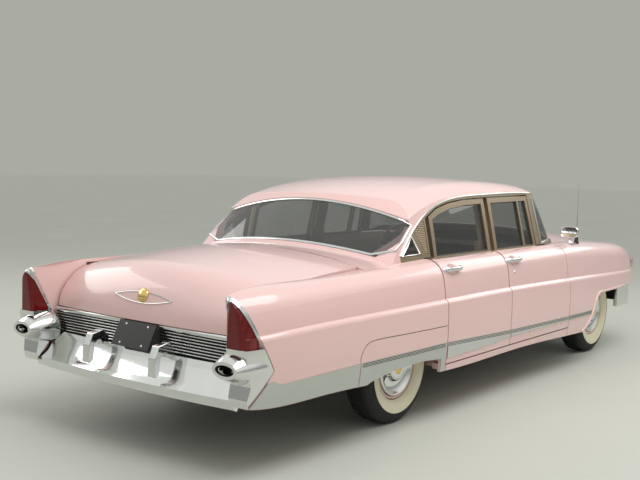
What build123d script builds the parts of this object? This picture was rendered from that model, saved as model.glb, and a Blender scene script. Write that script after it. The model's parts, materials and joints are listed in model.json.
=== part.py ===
"""Full-size four-door saloon of the middle 1950s, long tail with canted lamps.

Frame: millimetres, +X forward, +Y to the car's left, +Z up, origin on the ground
under the middle of the overall length.
"""
import os
from collections import namedtuple
from math import cos, radians, sin

from build123d import *

os.makedirs("parts", exist_ok=True)

# Overall sizes
OVERALL_LENGTH = 5660
WHEELBASE = 3200
FRONT_OVERHANG = 880
TRACK_FRONT = 1486
TRACK_REAR = 1524
FRONT_AXLE_X = OVERALL_LENGTH / 2 - FRONT_OVERHANG
REAR_AXLE_X = FRONT_AXLE_X - WHEELBASE

# Wheels
TYRE_RADIUS = 358
TYRE_WIDTH = 206
HUB_Z = TYRE_RADIUS
KINGPIN_Y = 640
KINGPIN_RADIUS = 16
WHEEL_ROOM = 34        # air round a rear tyre

# Fits
PANEL_GAP = 9          # shut line round doors, hood and lid
SKIN = 22              # thickness of a fender or quarter wall
SHEET = 28             # thickness of hood, lid and cowl
PILLAR = 34            # thickness of the greenhouse shell
TRIM = 5               # how far bright trim stands off the skin
SEAT_FIT = 0.3         # pane in its frame, trim on its panel
PIN_RADIUS = 6
PIN_FIT = 0.05
CUT = 3000             # reach of a cutter

# Door cuts along the length
TAIL_CUT_X = -930      # behind the rear door
MID_CUT_X = -25        # between the doors
NOSE_CUT_X = 1004      # ahead of the front door
REAR_FRAME_X = -860    # rear edge of the rear door's window frame
POST_X = 702           # rear face of the windshield post
DOOR_FOOT_Z = 352      # shut line under the doors
FACE_BEVEL = 34        # how far the shut face leans in over a door's thickness
FRAME_BEVEL = 46       # extra gap behind a window frame

# Side wall, left side, from the tail forward
SideRow = namedtuple("SideRow", "x inner_y ridge_y ridge_z shoulder_y shoulder_z crease_y crease_z "
                     "bulge_y bulge_z sill_y sill_z")
SIDE = [SideRow(*row) for row in (
    (-2800, 800, 812, 946, 893, 862, 908, 742, 928, 712, 906, 396),
    (-2200, 790, 812, 984, 936, 886, 958, 766, 980, 736, 966, 366),
    (-1250, 777, 822, 1012, 962, 908, 984, 772, 1008, 742, 996, 322),
    (-300, 803, 848, 1018, 968, 914, 988, 772, 1013, 742, 1002, 306),
    (700, 803, 848, 1016, 967, 912, 988, 756, 1013, 726, 1000, 296),
    (1500, 758, 775, 1000, 956, 888, 977, 734, 1002, 704, 988, 270),
    (2200, 728, 742, 955, 926, 848, 946, 708, 968, 680, 952, 270),
    (2600, 718, 730, 915, 886, 818, 906, 694, 924, 668, 908, 280),
    (2760, 713, 724, 880, 846, 800, 866, 690, 882, 666, 866, 290),
)]
FRONT_END_X = SIDE[-1].x

# Greenhouse in plan, level by level
GlassRow = namedtuple("GlassRow", "z front_x brow_x brow_y corner_x corner_y tail_x tail_y back_x")
GLASS = [GlassRow(*row) for row in (
    (900, 1480, 1300, 680, 1045, 874, -1400, 842, -1560),
    (1200, 1165, 1040, 630, 905, 806, -1135, 788, -1300),
    (1440, 850, 800, 590, 765, 751, -890, 734, -1055),
    (1580, 640, 620, 560, 600, 719, -740, 702, -900),
)]

# Roof crown, from the windshield back
RoofRow = namedtuple("RoofRow", "x top_z spring_y spring_z eave_y eave_z")
ROOF = [RoofRow(*row) for row in (
    (1520, 1340, 560, 1320, 880, 1215),
    (720, 1503, 560, 1484, 830, 1366),
    (100, 1535, 560, 1512, 830, 1352),
    (-500, 1514, 560, 1486, 840, 1308),
    (-1000, 1440, 560, 1400, 860, 1166),
    (-1600, 1235, 540, 1165, 930, 640),
)]
ROOF_DROP = 28

# Hood and deck, cut along the length at each distance from the middle
PanelRow = namedtuple("PanelRow", "y start_x start_z mid_x mid_z knee_x knee_z end_x end_z lip_x lip_z")
HOOD = [PanelRow(*row) for row in (
    (-870, 1000, 985, 1700, 962, 2380, 905, 2690, 850, 2735, 770),
    (-440, 1000, 1064, 1700, 1040, 2420, 962, 2735, 885, 2775, 780),
    (0, 1000, 1094, 1700, 1068, 2440, 984, 2752, 900, 2790, 784),
    (440, 1000, 1064, 1700, 1040, 2420, 962, 2735, 885, 2775, 780),
    (870, 1000, 985, 1700, 962, 2380, 905, 2690, 850, 2735, 770),
)]
DECK = [PanelRow(*row) for row in (
    (-880, -1150, 990, -1800, 974, -2330, 938, -2560, 800, -2590, 712),
    (-440, -1150, 1068, -1800, 1056, -2360, 1010, -2600, 846, -2630, 712),
    (0, -1150, 1092, -1800, 1080, -2380, 1034, -2612, 856, -2640, 712),
    (440, -1150, 1068, -1800, 1056, -2360, 1010, -2600, 846, -2630, 712),
    (880, -1150, 990, -1800, 974, -2330, 938, -2560, 800, -2590, 712),
)]
PANEL_BASE_Z = 560
HOOD_REAR_X = 1340
LID_FRONT_X = -1614
LID_HALF_WIDTH = 779
LID_FOOT_Z = 714
HOOD_FOOT_Z = 788

# Tail: the quarter ends in an edge shaped like an arrow head pointing forward
LAMP_TIP = (-2790, 960)
LAMP_FOOT = (-2655, 690)
ARROW = (-2590, 568)
TAIL_FOOT = (-2735, 396)

# Floor
FLOOR_Z = 300
FLOOR_SHEET = 24
FLOOR_TOP_Z = FLOOR_Z + FLOOR_SHEET
BOOT_Z = 505
TUNNEL_Z = 450
TUNNEL_HALF = 172
TUNNEL_SHEET = 20

# Hinges
HINGE_LEAD = 60        # panel edge ahead of the pin
DOOR_PIN_DEPTH = 20    # pin below the widest skin
LID_PIN_DEPTH = 17
DOOR_HINGE_Z = (470, 690)
LID_HINGE_Y = 420
ARM_HALF = 20
POCKET_HALF = 26
PIN_HALF = 58
POST_FACE_Y = 772      # outer face of the posts that carry the doors
POST_DEPTH = 30
POST_AIR = 13          # between the door frames and the upper part of the middle post


def mirrored(solid):
    """The same piece on the car's right."""
    with BuildPart() as other:
        add(mirror(solid, about=Plane.XZ))
    return other.part


def pair(solid):
    """A piece and its mirror image, apart from each other."""
    return Compound([*solid.solids(), *mirror(solid, about=Plane.XZ).solids()])


def whole(half):
    """A left half joined to its mirror image at the middle plane."""
    with BuildPart() as both:
        add(half)
        add(mirror(half, about=Plane.XZ))
    return both.part


def largest(part):
    """The biggest solid of a part, without the scraps a cut leaves outside the skin."""
    return part.solids().sort_by(SortBy.VOLUME)[-1]


def bowed(start, end, rise):
    """Middle point of an arc from start to end that bows to the right by rise."""
    dx, dy = end[0] - start[0], end[1] - start[1]
    length = (dx * dx + dy * dy) ** 0.5
    return ((start[0] + end[0]) / 2 + dy / length * rise, (start[1] + end[1]) / 2 - dx / length * rise)


def side_wall(inset=0.0, reach=0.0):
    """Left side wall with its skin moved in by the inset and its inner side by the reach."""
    with BuildPart() as wall:
        for row in SIDE:
            sill = (row.sill_y - inset, row.sill_z - reach)
            bulge = (row.bulge_y - inset, row.bulge_z)
            crease = (row.crease_y - inset, row.crease_z)
            shoulder = (row.shoulder_y - inset, row.shoulder_z)
            ridge = (row.ridge_y - inset / 2, row.ridge_z - inset)
            inner_y = row.inner_y - reach
            with BuildSketch(Plane.YZ.offset(row.x)):
                with BuildLine():
                    Line((inner_y, sill[1]), sill)
                    ThreePointArc(sill, bowed(sill, bulge, 9), bulge)
                    ThreePointArc(bulge, bowed(bulge, crease, 5), crease)
                    flank = ThreePointArc(crease, bowed(crease, shoulder, 3), shoulder)
                    TangentArc(shoulder, ridge, tangent=flank % 1)
                    Line(ridge, (inner_y, ridge[1]))
                    Line((inner_y, ridge[1]), (inner_y, sill[1]))
                make_face()
        loft()
    return wall.part


def glass_house(inset=0.0):
    """Cabin above the belt as a solid, its walls moved in by the inset."""
    with BuildPart() as house:
        for row in GLASS:
            front, back = row.front_x - inset, row.back_x + inset
            brow = (row.brow_x - inset, row.brow_y - inset * 0.6)
            corner = (row.corner_x - inset * 0.4, row.corner_y - inset)
            tail = (row.tail_x + inset, row.tail_y - inset)
            with BuildSketch(Plane.XY.offset(row.z)):
                with BuildLine():
                    ThreePointArc((brow[0], -brow[1]), (front, 0), brow)
                    ThreePointArc(brow, bowed(brow, corner, -46), corner)
                    Line(corner, tail)
                    ThreePointArc(tail, (back, 0), (tail[0], -tail[1]))
                    Line((tail[0], -tail[1]), (corner[0], -corner[1]))
                    ThreePointArc((corner[0], -corner[1]),
                                  bowed((corner[0], -corner[1]), (brow[0], -brow[1]), -46),
                                  (brow[0], -brow[1]))
                make_face()
        loft()
    return house.part


def crown(drop=0.0):
    """Everything under the roof's skin, lowered by the drop."""
    with BuildPart() as dome:
        for row in ROOF:
            spring = (row.spring_y, row.spring_z - drop)
            eave = (row.eave_y - drop * 0.6, row.eave_z - drop)
            with BuildSketch(Plane.YZ.offset(row.x)):
                with BuildLine():
                    top = ThreePointArc((-spring[0], spring[1]), (0, row.top_z - drop), spring)
                    TangentArc(spring, eave, tangent=top % 1)
                    Line(eave, (eave[0] + 60, 500))
                    Line((eave[0] + 60, 500), (-eave[0] - 60, 500))
                    Line((-eave[0] - 60, 500), (-eave[0], eave[1]))
                    TangentArc((-spring[0], spring[1]), (-eave[0], eave[1]), tangent=(top % 0) * -1)
                make_face()
        loft()
    return dome.part


def panel_fill(rows):
    """Solid under the hood or the deck, down to the panel base."""
    with BuildPart() as fill:
        for row in rows:
            start, knee = (row.start_x, row.start_z), (row.knee_x, row.knee_z)
            end, lip = (row.end_x, row.end_z), (row.lip_x, row.lip_z)
            with BuildSketch(Plane((0, row.y, 0), x_dir=(1, 0, 0), z_dir=(0, -1, 0))):
                with BuildLine():
                    top = ThreePointArc(start, (row.mid_x, row.mid_z), knee)
                    turn = TangentArc(knee, end, tangent=top % 1)
                    TangentArc(end, lip, tangent=turn % 1)
                    Line(lip, (row.lip_x, PANEL_BASE_Z))
                    Line((row.lip_x, PANEL_BASE_Z), (row.start_x, PANEL_BASE_Z))
                    Line((row.start_x, PANEL_BASE_Z), start)
                make_face()
        loft()
    return fill.part


def panel_skin(fill, shift):
    """Sheet left when the fill is taken away from itself, moved down and in."""
    with BuildPart() as skin:
        add(fill)
        add(fill.moved(Location((shift, 0, -SHEET))), mode=Mode.SUBTRACT)
        with Locations((fill.bounding_box().center().X, 0, PANEL_BASE_Z)):
            Box(4000, 2400, 120, mode=Mode.SUBTRACT)
    return skin.part


def side_view(points, near=0.0, far=CUT, inset=0.0):
    """Prism through the car's left from an outline seen from the side."""
    with BuildPart() as prism:
        with BuildSketch(Plane((0, near, 0), x_dir=(1, 0, 0), z_dir=(0, -1, 0))):
            with BuildLine():
                Polyline(*points, close=True)
            make_face()
            if inset:
                offset(amount=-inset, kind=Kind.INTERSECTION, mode=Mode.REPLACE)
        extrude(amount=-(far - near))
    return prism.part


def plan_view(points, low=-CUT, high=CUT):
    """Upright prism from an outline seen from above."""
    with BuildPart() as prism:
        with BuildSketch(Plane.XY.offset(low)):
            with BuildLine():
                Polyline(*points, close=True)
            make_face()
        extrude(amount=high - low)
    return prism.part


def block(x, y, z):
    """Box between pairs of limits."""
    with BuildPart() as solid:
        with Locations(((x[0] + x[1]) / 2, (y[0] + y[1]) / 2, (z[0] + z[1]) / 2)):
            Box(x[1] - x[0], y[1] - y[0], z[1] - z[0])
    return solid.part


def joined(*solids):
    """Solids fused into one part."""
    with BuildPart() as whole:
        for solid in solids:
            add(solid)
    return whole.part


def trimmed(solid, *cutters):
    """A solid less each cutter."""
    with BuildPart() as rest:
        add(solid)
        for cutter in cutters:
            add(cutter, clean=False, mode=Mode.SUBTRACT)
    return rest.part


def common(solid, *others):
    """What a solid shares with each of the others."""
    with BuildPart() as shared:
        add(solid)
        for other in others:
            add(other, clean=False, mode=Mode.INTERSECT)
    return shared.part


def rod(start, end, radius):
    """Round bar between two points."""
    first, last = Vector(*start), Vector(*end)
    with BuildPart() as bar:
        with BuildSketch(Plane(first, z_dir=last - first)):
            Circle(radius)
        extrude(amount=(last - first).length)
    return bar.part


def hinge(plane, arm_length, lead=HINGE_LEAD, cover=9.0):
    """Pin with its arm, and the pocket and bore it needs in the moving panel.

    In the plane's own directions x points to the panel's leading edge, y out of the
    skin and z along the pin. The arm runs from the pin in under the skin.
    """
    with BuildPart() as bracket:
        with BuildSketch(plane.offset(-PIN_HALF)):
            Circle(PIN_RADIUS)
        extrude(amount=2 * PIN_HALF)
        with BuildSketch(plane.offset(-ARM_HALF)):
            Circle(8)
            with Locations((0, -arm_length / 2)):
                Rectangle(16, arm_length)
        extrude(amount=2 * ARM_HALF)
    with BuildPart() as pocket:
        with BuildSketch(plane.offset(-POCKET_HALF)):
            with Locations(((lead + 20 - 22) / 2, (cover - arm_length - 60) / 2)):
                Rectangle(lead + 20 + 22, arm_length + 60 + cover)
        extrude(amount=2 * POCKET_HALF)
        with BuildSketch(plane.offset(-PIN_HALF - 1)):
            Circle(PIN_RADIUS + PIN_FIT)
        extrude(amount=2 * PIN_HALF + 2)
    return bracket.part, pocket.part


# Master shapes
WALL = side_wall()
HOLLOW = common(side_wall(SKIN, 100), block((-2380, FRONT_END_X - 30), (0, CUT), (0, 2000)))
TRIM_WALL = side_wall(-TRIM, -4)
HOUSE = glass_house()
ROOM = glass_house(PILLAR)
CROWN = crown()
SHELL = trimmed(common(HOUSE, CROWN), common(ROOM, crown(ROOF_DROP)))
PANE = common(trimmed(glass_house(13), glass_house(19)), crown(10))
HOOD_FILL = panel_fill(HOOD)
DECK_FILL = panel_fill(DECK)
HOOD_SHEET = panel_skin(HOOD_FILL, -16)
DECK_SHEET = panel_skin(DECK_FILL, 16)

# Outlines seen from the side
FRONT_FRAME = [(20, 980), (20, 1397), (655, 1402), (POST_X - PANEL_GAP, 980)]
REAR_FRAME = [(REAR_FRAME_X + FRAME_BEVEL, 980), (REAR_FRAME_X + FRAME_BEVEL, 1288), (-700, 1336),
              (-540, 1368), (-330, 1388), (-36, 1394), (-36, 980)]
FRONT_LIGHT = [(64, 1028), (64, 1360), (620, 1366), (655, 1028)]
REAR_LIGHT = [(-778, 1028), (-770, 1268), (-690, 1298), (-530, 1332), (-330, 1352), (-80, 1358), (-80, 1028)]
FRONT_DOORWAY = [(-30, 900), (-30, 1406), (664, 1411), (POST_X, 1024), (1100, 1024), (1100, 900)]
REAR_DOORWAY = [(REAR_FRAME_X, 900), (REAR_FRAME_X, 1280), (-705, 1345), (-542, 1377),
                (-330, 1397), (-20, 1403), (-20, 900)]
QUARTER_LIGHT = [(-1205, 1046), (-1046, 1176), (-962, 1046)]
LOUVRE = [(-906, 1046), (-1012, 1196), (-940, 1252), (-880, 1262), (-880, 1046)]
WINDSHIELD = [(790, 1036), (752, 1386), (800, 1420), (1600, 1420), (1600, 1104), (1240, 1104)]
BACKLIGHT = [(-1316, 1040), (-1046, 1236), (-1112, 1396), (-1700, 1396), (-1700, 1110), (-1390, 1110)]

# Roof with its posts, worked on the left half and mirrored
LEFT = block((-CUT, CUT), (0, 1200), (0, 2000))
DOORWAYS = [side_view(outline) for outline in (FRONT_DOORWAY, REAR_DOORWAY)]
SIDE_LIGHTS = [side_view(outline) for outline in (QUARTER_LIGHT, LOUVRE)]
FRAME_CUTS = [side_view(outline) for outline in (WINDSHIELD, BACKLIGHT)]
CABIN = trimmed(common(SHELL, LEFT), HOOD_FILL, DECK_FILL, WALL, block((-2000, 2000), (-10, 2000), (0, 960)))
DOOR_TOP_AIR = block((TAIL_CUT_X - PANEL_GAP, -780), (700, 900), (1000, 1027))
ROOF_HALF = trimmed(CABIN, *DOORWAYS, *SIDE_LIGHTS, *FRAME_CUTS, DOOR_TOP_AIR)
with BuildPart() as roof:
    add(whole(largest(ROOF_HALF)))
PANE_HALF = common(PANE, LEFT)
with BuildPart() as windshield:
    add(whole(trimmed(common(PANE_HALF, side_view(WINDSHIELD, -10, inset=SEAT_FIT)), HOOD_FILL, WALL)))
with BuildPart() as backlight:
    add(whole(trimmed(common(PANE_HALF, side_view(BACKLIGHT, -10, inset=SEAT_FIT)), DECK_FILL, WALL)))
with BuildPart() as quarter_glass:
    add(common(PANE_HALF, side_view(QUARTER_LIGHT, inset=SEAT_FIT)))
with BuildPart() as pillar_louvre:
    add(trimmed(common(glass_house(4), side_view(LOUVRE, inset=SEAT_FIT)), glass_house(16)))

# Doors
DOOR_PLAN = {
    "front": [(MID_CUT_X + PANEL_GAP / 2, 1100), (MID_CUT_X + PANEL_GAP / 2, 1000),
              (MID_CUT_X + PANEL_GAP / 2 + FACE_BEVEL, 780), (NOSE_CUT_X - PANEL_GAP / 2, 780),
              (NOSE_CUT_X - PANEL_GAP / 2, 1100)],
    "rear": [(TAIL_CUT_X + PANEL_GAP / 2, 1100), (TAIL_CUT_X + PANEL_GAP / 2, 1000),
             (TAIL_CUT_X + PANEL_GAP / 2 + FACE_BEVEL, 760), (MID_CUT_X - PANEL_GAP / 2, 760),
             (MID_CUT_X - PANEL_GAP / 2, 1100)],
}
PIN_X = {"front": NOSE_CUT_X - PANEL_GAP / 2 - HINGE_LEAD, "rear": MID_CUT_X - PANEL_GAP / 2 - HINGE_LEAD}
PIN_Y = 1013 - DOOR_PIN_DEPTH
ARM_LENGTH = PIN_Y - POST_FACE_Y + 6
FRAMES = {"front": (FRONT_FRAME, FRONT_LIGHT), "rear": (REAR_FRAME, REAR_LIGHT)}
TYRE_SPACE = rod((REAR_AXLE_X, 600, HUB_Z), (REAR_AXLE_X, 905, HUB_Z), TYRE_RADIUS + WHEEL_ROOM)
VENT_BAR = side_view([(486, 1020), (482, 1368), (504, 1368), (516, 1020)])
HANDLE_Z = 958
HANDLE_X = {"front": 95, "rear": -785}
SCOOP_RADIUS = 119
SCOOP_CENTRE = (1042, HANDLE_Z + 46)     # outside the shoulder, so that the scoop is a shallow dish
doors, door_glass, hinge_arms = {}, {}, []
for name, plan in DOOR_PLAN.items():
    frame, light = FRAMES[name]
    lower = common(WALL, plan_view(plan, DOOR_FOOT_Z + PANEL_GAP / 2, 1100))
    opening = trimmed(side_view(light), VENT_BAR)
    upper = trimmed(common(SHELL, side_view(frame)), opening)
    pockets = []
    for z in DOOR_HINGE_Z:
        arm, pocket = hinge(Plane((PIN_X[name], PIN_Y, z)), ARM_LENGTH)
        hinge_arms.append(arm)
        pockets.append(pocket)
    with BuildPart(Location((HANDLE_X[name], *SCOOP_CENTRE))) as scoop:
        Sphere(SCOOP_RADIUS)
    doors[name] = trimmed(joined(lower, upper), opening, *pockets, TYRE_SPACE, scoop.part)
    door_glass[name] = trimmed(common(PANE, side_view(light, inset=SEAT_FIT)), VENT_BAR)

# Posts that carry the hinges, inboard of the doors
with BuildPart() as hinge_posts:
    for front_x, rear_x, top_z in ((PIN_X["front"] + 40, PIN_X["front"] - 40, 960), (44, PIN_X["rear"] - 20, 1085)):
        add(block((rear_x, front_x), (POST_FACE_Y - POST_DEPTH, POST_FACE_Y), (FLOOR_TOP_Z + SEAT_FIT, top_z)))
    add(trimmed(common(glass_house(PILLAR + POST_AIR), crown(ROOF_DROP + 3), block((-70, 50), (600, 900), (970, 1500))),
                glass_house(PILLAR + POST_AIR + 26)))
    for arm in hinge_arms:
        add(arm)

# Panels of the lower body
BLADE_HALF = 815       # rear bumper blade, from the middle to its end
SILL_CUT = DOOR_FOOT_Z - PANEL_GAP / 2
with BuildPart() as sill:
    length = block((TAIL_CUT_X + PANEL_GAP / 2, NOSE_CUT_X - PANEL_GAP / 2), (0, CUT), (0, SILL_CUT))
    add(trimmed(common(WALL, length), TYRE_SPACE))

ARCH = [(1296, 200), (1296, 264), (1390, 292), (1476, 352), (1550, 432), (1592, 512), (1650, 556),
        (1720, 566), (2100, 562), (2900, 566), (2900, 200)]
with BuildPart() as fender:
    add(trimmed(common(WALL, block((NOSE_CUT_X + PANEL_GAP / 2, FRONT_END_X), (0, CUT), (0, CUT))),
                HOLLOW, side_view(ARCH)))

QUARTER_EDGE = [(TAIL_CUT_X - PANEL_GAP / 2, 200), (TAIL_CUT_X - PANEL_GAP / 2, 1200), LAMP_TIP[:1] + (1200,),
                LAMP_TIP, LAMP_FOOT, ARROW, TAIL_FOOT, (TAIL_FOOT[0], 200)]
SKIRT = [(-936, 200), (-950, 560), (-990, 604), (-1700, 612), (-1800, 596), (-1850, 540), (-1862, 200)]
SKIRT_CUT = [(-1000, 200), (-1000, 400), (-1230, 416), (-1500, 406), (-1730, 372), (-1850, 330), (-1850, 200)]
with BuildPart() as quarter:
    blade_end = block((-2770, -2380), (700, BLADE_HALF + SEAT_FIT), (300, 562))
    add(trimmed(common(WALL, side_view(QUARTER_EDGE)), HOLLOW, side_view(SKIRT), blade_end))
with BuildPart() as skirt:
    add(trimmed(common(WALL, side_view(SKIRT, inset=SEAT_FIT)), HOLLOW, side_view(SKIRT_CUT)))

HOOD_PLAN = [(HOOD_REAR_X, 757)] + [(row.x, row.inner_y - PANEL_GAP) for row in SIDE[5:]]
HOOD_PLAN = HOOD_PLAN + [(2900, 690)] + [(2900, -690)] + [(x, -y) for x, y in reversed(HOOD_PLAN)]
HOOD_PIN = (HOOD_REAR_X + HINGE_LEAD, 1062)
LID_PIN = (LID_FRONT_X - HINGE_LEAD, 1066)
LID_PLAN = [(LID_FRONT_X, LID_HALF_WIDTH - 12), (-2200, LID_HALF_WIDTH), (-2700, LID_HALF_WIDTH - 5),
            (-2700, -LID_HALF_WIDTH + 5), (-2200, -LID_HALF_WIDTH), (LID_FRONT_X, -LID_HALF_WIDTH + 12)]
lid_arms, hood_arms, lid_pockets, hood_pockets = [], [], [], []
for y in (-LID_HINGE_Y, LID_HINGE_Y):
    arm, pocket = hinge(Plane((LID_PIN[0], y, LID_PIN[1] - LID_PIN_DEPTH), x_dir=(1, 0, 0), z_dir=(0, -1, 0)),
                        LID_PIN[1] - LID_PIN_DEPTH - 900, cover=9)
    lid_arms.append(arm)
    lid_pockets.append(pocket)
    arm, pocket = hinge(Plane((HOOD_PIN[0], y, HOOD_PIN[1] - LID_PIN_DEPTH), x_dir=(-1, 0, 0), z_dir=(0, 1, 0)),
                        HOOD_PIN[1] - LID_PIN_DEPTH - 940, cover=9)
    hood_arms.append(arm)
    hood_pockets.append(pocket)
with BuildPart() as hood:
    add(trimmed(common(HOOD_SHEET, plan_view(HOOD_PLAN, HOOD_FOOT_Z)), *hood_pockets))
with BuildPart() as trunk_lid:
    add(trimmed(common(DECK_SHEET, plan_view(LID_PLAN, LID_FOOT_Z)), *lid_pockets))

SWEEP_RADIUS = 80      # room for the hinged edge of the hood or lid as it turns about its pin
HOOD_SWEEP = rod((HOOD_PIN[0], -10, HOOD_PIN[1] - LID_PIN_DEPTH), (HOOD_PIN[0], 900, HOOD_PIN[1] - LID_PIN_DEPTH),
                 SWEEP_RADIUS)
LID_SWEEP = rod((LID_PIN[0], -10, LID_PIN[1] - LID_PIN_DEPTH), (LID_PIN[0], 900, LID_PIN[1] - LID_PIN_DEPTH),
                SWEEP_RADIUS - 2)
with BuildPart() as cowl:
    add(whole(trimmed(common(HOOD_SHEET, block((1000, HOOD_REAR_X - PANEL_GAP), (0, 900), (900, 1200))),
                     HOUSE, WALL, HOOD_SWEEP)))
with BuildPart() as rear_deck:
    add(whole(trimmed(common(DECK_SHEET, block((LID_FRONT_X + PANEL_GAP, -1150), (0, 900), (900, 1200))),
                     HOUSE, WALL, LID_SWEEP)))


# Bright trim along the lower side, in lengths that part at the shut lines
TrimRow = namedtuple("TrimRow", "x top_z low_z")
TRIM_LINE = [TrimRow(*row) for row in (
    (1500, 441, 407), (1008, 448, 414), (1000, 448, 414), (-20, 466, 414), (-30, 466, 413),
    (-450, 482, 397), (-926, 499, 390), (-934, 499, 388),
)]


def trim_length(rear_x, front_x):
    """Piece of the side trim between two shut lines."""
    rows = [row for row in TRIM_LINE if rear_x - 1 <= row.x <= front_x + 1]
    outline = [(row.x, row.top_z) for row in rows] + [(row.x, row.low_z) for row in reversed(rows)]
    return trimmed(common(TRIM_WALL, side_view(outline)), WALL)


door_trim = {}
for (name, x), ends in zip(HANDLE_X.items(), ((-20, 1000), (-926, -30))):
    grip = trimmed(block((x - 85, x + 85), (960, 976), (HANDLE_Z - 11, HANDLE_Z + 11)), WALL)
    feet = [trimmed(block((x + at - 12, x + at + 12), (920, 962), (HANDLE_Z - 9, HANDLE_Z + 9)), WALL)
            for at in (-68, 68)]
    with BuildPart() as trim:
        add(joined(grip, *feet))
        add(trim_length(*ends))
    door_trim[name] = trim.part

REAR_BRIGHT = [(-944, 200), (-944, 499), (-1825, 496), (-2538, 490), (-2592, 512), (-2760, 512), (-2760, 200)]
with BuildPart() as mouldings:
    add(trim_length(1008, 1500))
    add(trimmed(common(TRIM_WALL, side_view(REAR_BRIGHT), side_view(SKIRT, inset=SEAT_FIT)), WALL, side_view(SKIRT_CUT)))
    add(trimmed(common(TRIM_WALL, side_view(REAR_BRIGHT), side_view(QUARTER_EDGE),
                       block((-2760, -1862), (0, CUT), (0, 700))), WALL))

# Tail: lamps, ribbed panel, plate and bumper
LENS_BACK_X = -2799
LENS_Y = 856
LENS_NOSE = 76         # radius of the lens seen from above
with BuildPart() as tail_lamp:
    lens = [(LAMP_FOOT[0] - 2 * SEAT_FIT, LAMP_FOOT[1]), (LAMP_TIP[0] - 2 * SEAT_FIT, LAMP_TIP[1]), (LENS_BACK_X, 940),
            (-2786, LAMP_FOOT[1])]
    with BuildSketch(Plane.XY.offset(LAMP_FOOT[1] - 10)):
        with Locations((LENS_BACK_X + LENS_NOSE, LENS_Y)):
            Circle(LENS_NOSE)
        with Locations((LENS_BACK_X + LENS_NOSE + 100, LENS_Y)):
            Rectangle(200, 2 * LENS_NOSE)
    extrude(amount=400)
    add(common(WALL, side_view(lens)), mode=Mode.INTERSECT)

RIB_COUNT = 8
RIB_PITCH = 17
PANEL_X = -2604
with BuildPart() as tail_panel:
    add(block((PANEL_X, PANEL_X + 20), (-785, 785), (560, 704)))
    for rib in range(RIB_COUNT):
        z = 566 + rib * RIB_PITCH
        add(block((PANEL_X - 12, PANEL_X), (-785, 785), (z, z + 9)))
    add(side_view([(PANEL_X, 702), (PANEL_X - 42, 706), (PANEL_X - 110, 572), (PANEL_X, 572)], -145, 145))

PLATE_TILT = 26.9
with BuildPart() as licence_plate:
    with BuildSketch(Plane((PANEL_X - 76.2, 0, 639), x_dir=(0, -1, 0), z_dir=(-cos(radians(PLATE_TILT)), 0,
                                                                      sin(radians(PLATE_TILT))))):
        Rectangle(305, 152)
    extrude(amount=3)

BladeRow = namedtuple("BladeRow", "y sweep")
BLADE = [BladeRow(-BLADE_HALF, 46), BladeRow(0, 0), BladeRow(BLADE_HALF, 46)]
BLADE_OUTLINE = [(-2580, 560 - SEAT_FIT), (-2662, 560 - SEAT_FIT), (-2700, 470), (-2774, 408), (-2778, 362), (-2752, 350),
                 (-2738, 370), (-2744, 396), (-2676, 450), (-2642, 534), (-2580, 536)]
BLADE_BENDS = [(-2700, 470), (-2676, 450)]
BLADE_SCOOP = 240      # hollow radius of the blade's face
PORT_Y, PORT_Z = 838, 586
PortRow = namedtuple("PortRow", "x half_width half_height")
PORT = [PortRow(-2640, 126, 100), PortRow(-2760, 112, 82), PortRow(-OVERALL_LENGTH / 2, 86, 45)]
PORT_HALF = (64, 28)
GUARD_Y = 275
GUARD_HALF = 27
GUARD_ROUND = 14
GUARD = [(-2650, 552), (-2650, 600), (-2690, 640), (-2770, 626), (-2800, 560), (-2806, 462), (-2784, 452),
         (-2764, 470), (-2752, 560), (-2720, 590), (-2700, 552)]
with BuildPart() as guard:
    with BuildSketch(Plane((0, GUARD_Y - GUARD_HALF, 0), x_dir=(1, 0, 0), z_dir=(0, -1, 0))):
        with BuildLine():
            Polyline(*GUARD, close=True)
        fillet(make_face().vertices(), GUARD_ROUND)
    extrude(amount=-2 * GUARD_HALF)
    fillet(guard.edges().filter_by(Axis.Y, reverse=True), GUARD_ROUND / 2)
POD_FRONT = [(-2400, 300), (TAIL_FOOT[0] - 8, 300), (TAIL_FOOT[0] - 8, 404), (ARROW[0] - 7, ARROW[1]),
             (LAMP_FOOT[0] - 6, LAMP_FOOT[1]), (-2400, LAMP_FOOT[1] + 20)]
with BuildPart() as pod:
    for row in PORT:
        with BuildSketch(Plane((row.x, PORT_Y, PORT_Z), x_dir=(0, -1, 0), z_dir=(-1, 0, 0))):
            Ellipse(row.half_width, row.half_height)
    loft()
    add(side_view(POD_FRONT), mode=Mode.SUBTRACT)
with BuildPart() as rear_bumper:
    for row in BLADE:
        with BuildSketch(Plane((row.sweep, row.y, 0), x_dir=(1, 0, 0), z_dir=(0, -1, 0))):
            with BuildLine():
                Polyline(*BLADE_OUTLINE, close=True)
            face = make_face()
            fillet([face.vertices().sort_by_distance((x, z, 0))[0] for x, z in BLADE_BENDS], BLADE_SCOOP)
    loft()
    wing = [POD_FRONT[3], (LAMP_FOOT[0] - 6, LAMP_FOOT[1] - SEAT_FIT), (-2776, LAMP_FOOT[1] - SEAT_FIT), (-2772, 640),
            (-2740, 500), (-2754, 430), (TAIL_FOOT[0] - 8, 380), POD_FRONT[2]]
    tip = common(WALL, side_view(wing))
    add(tip)
    add(mirror(tip, about=Plane.XZ))
    add(pair(pod.part))
    for side in (-1, 1):
        with BuildSketch(Plane((-2720, side * PORT_Y, PORT_Z), x_dir=(0, -1, 0), z_dir=(-1, 0, 0))):
            Ellipse(*PORT_HALF)
        extrude(amount=200, mode=Mode.SUBTRACT)
    add(pair(guard.part))

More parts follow.
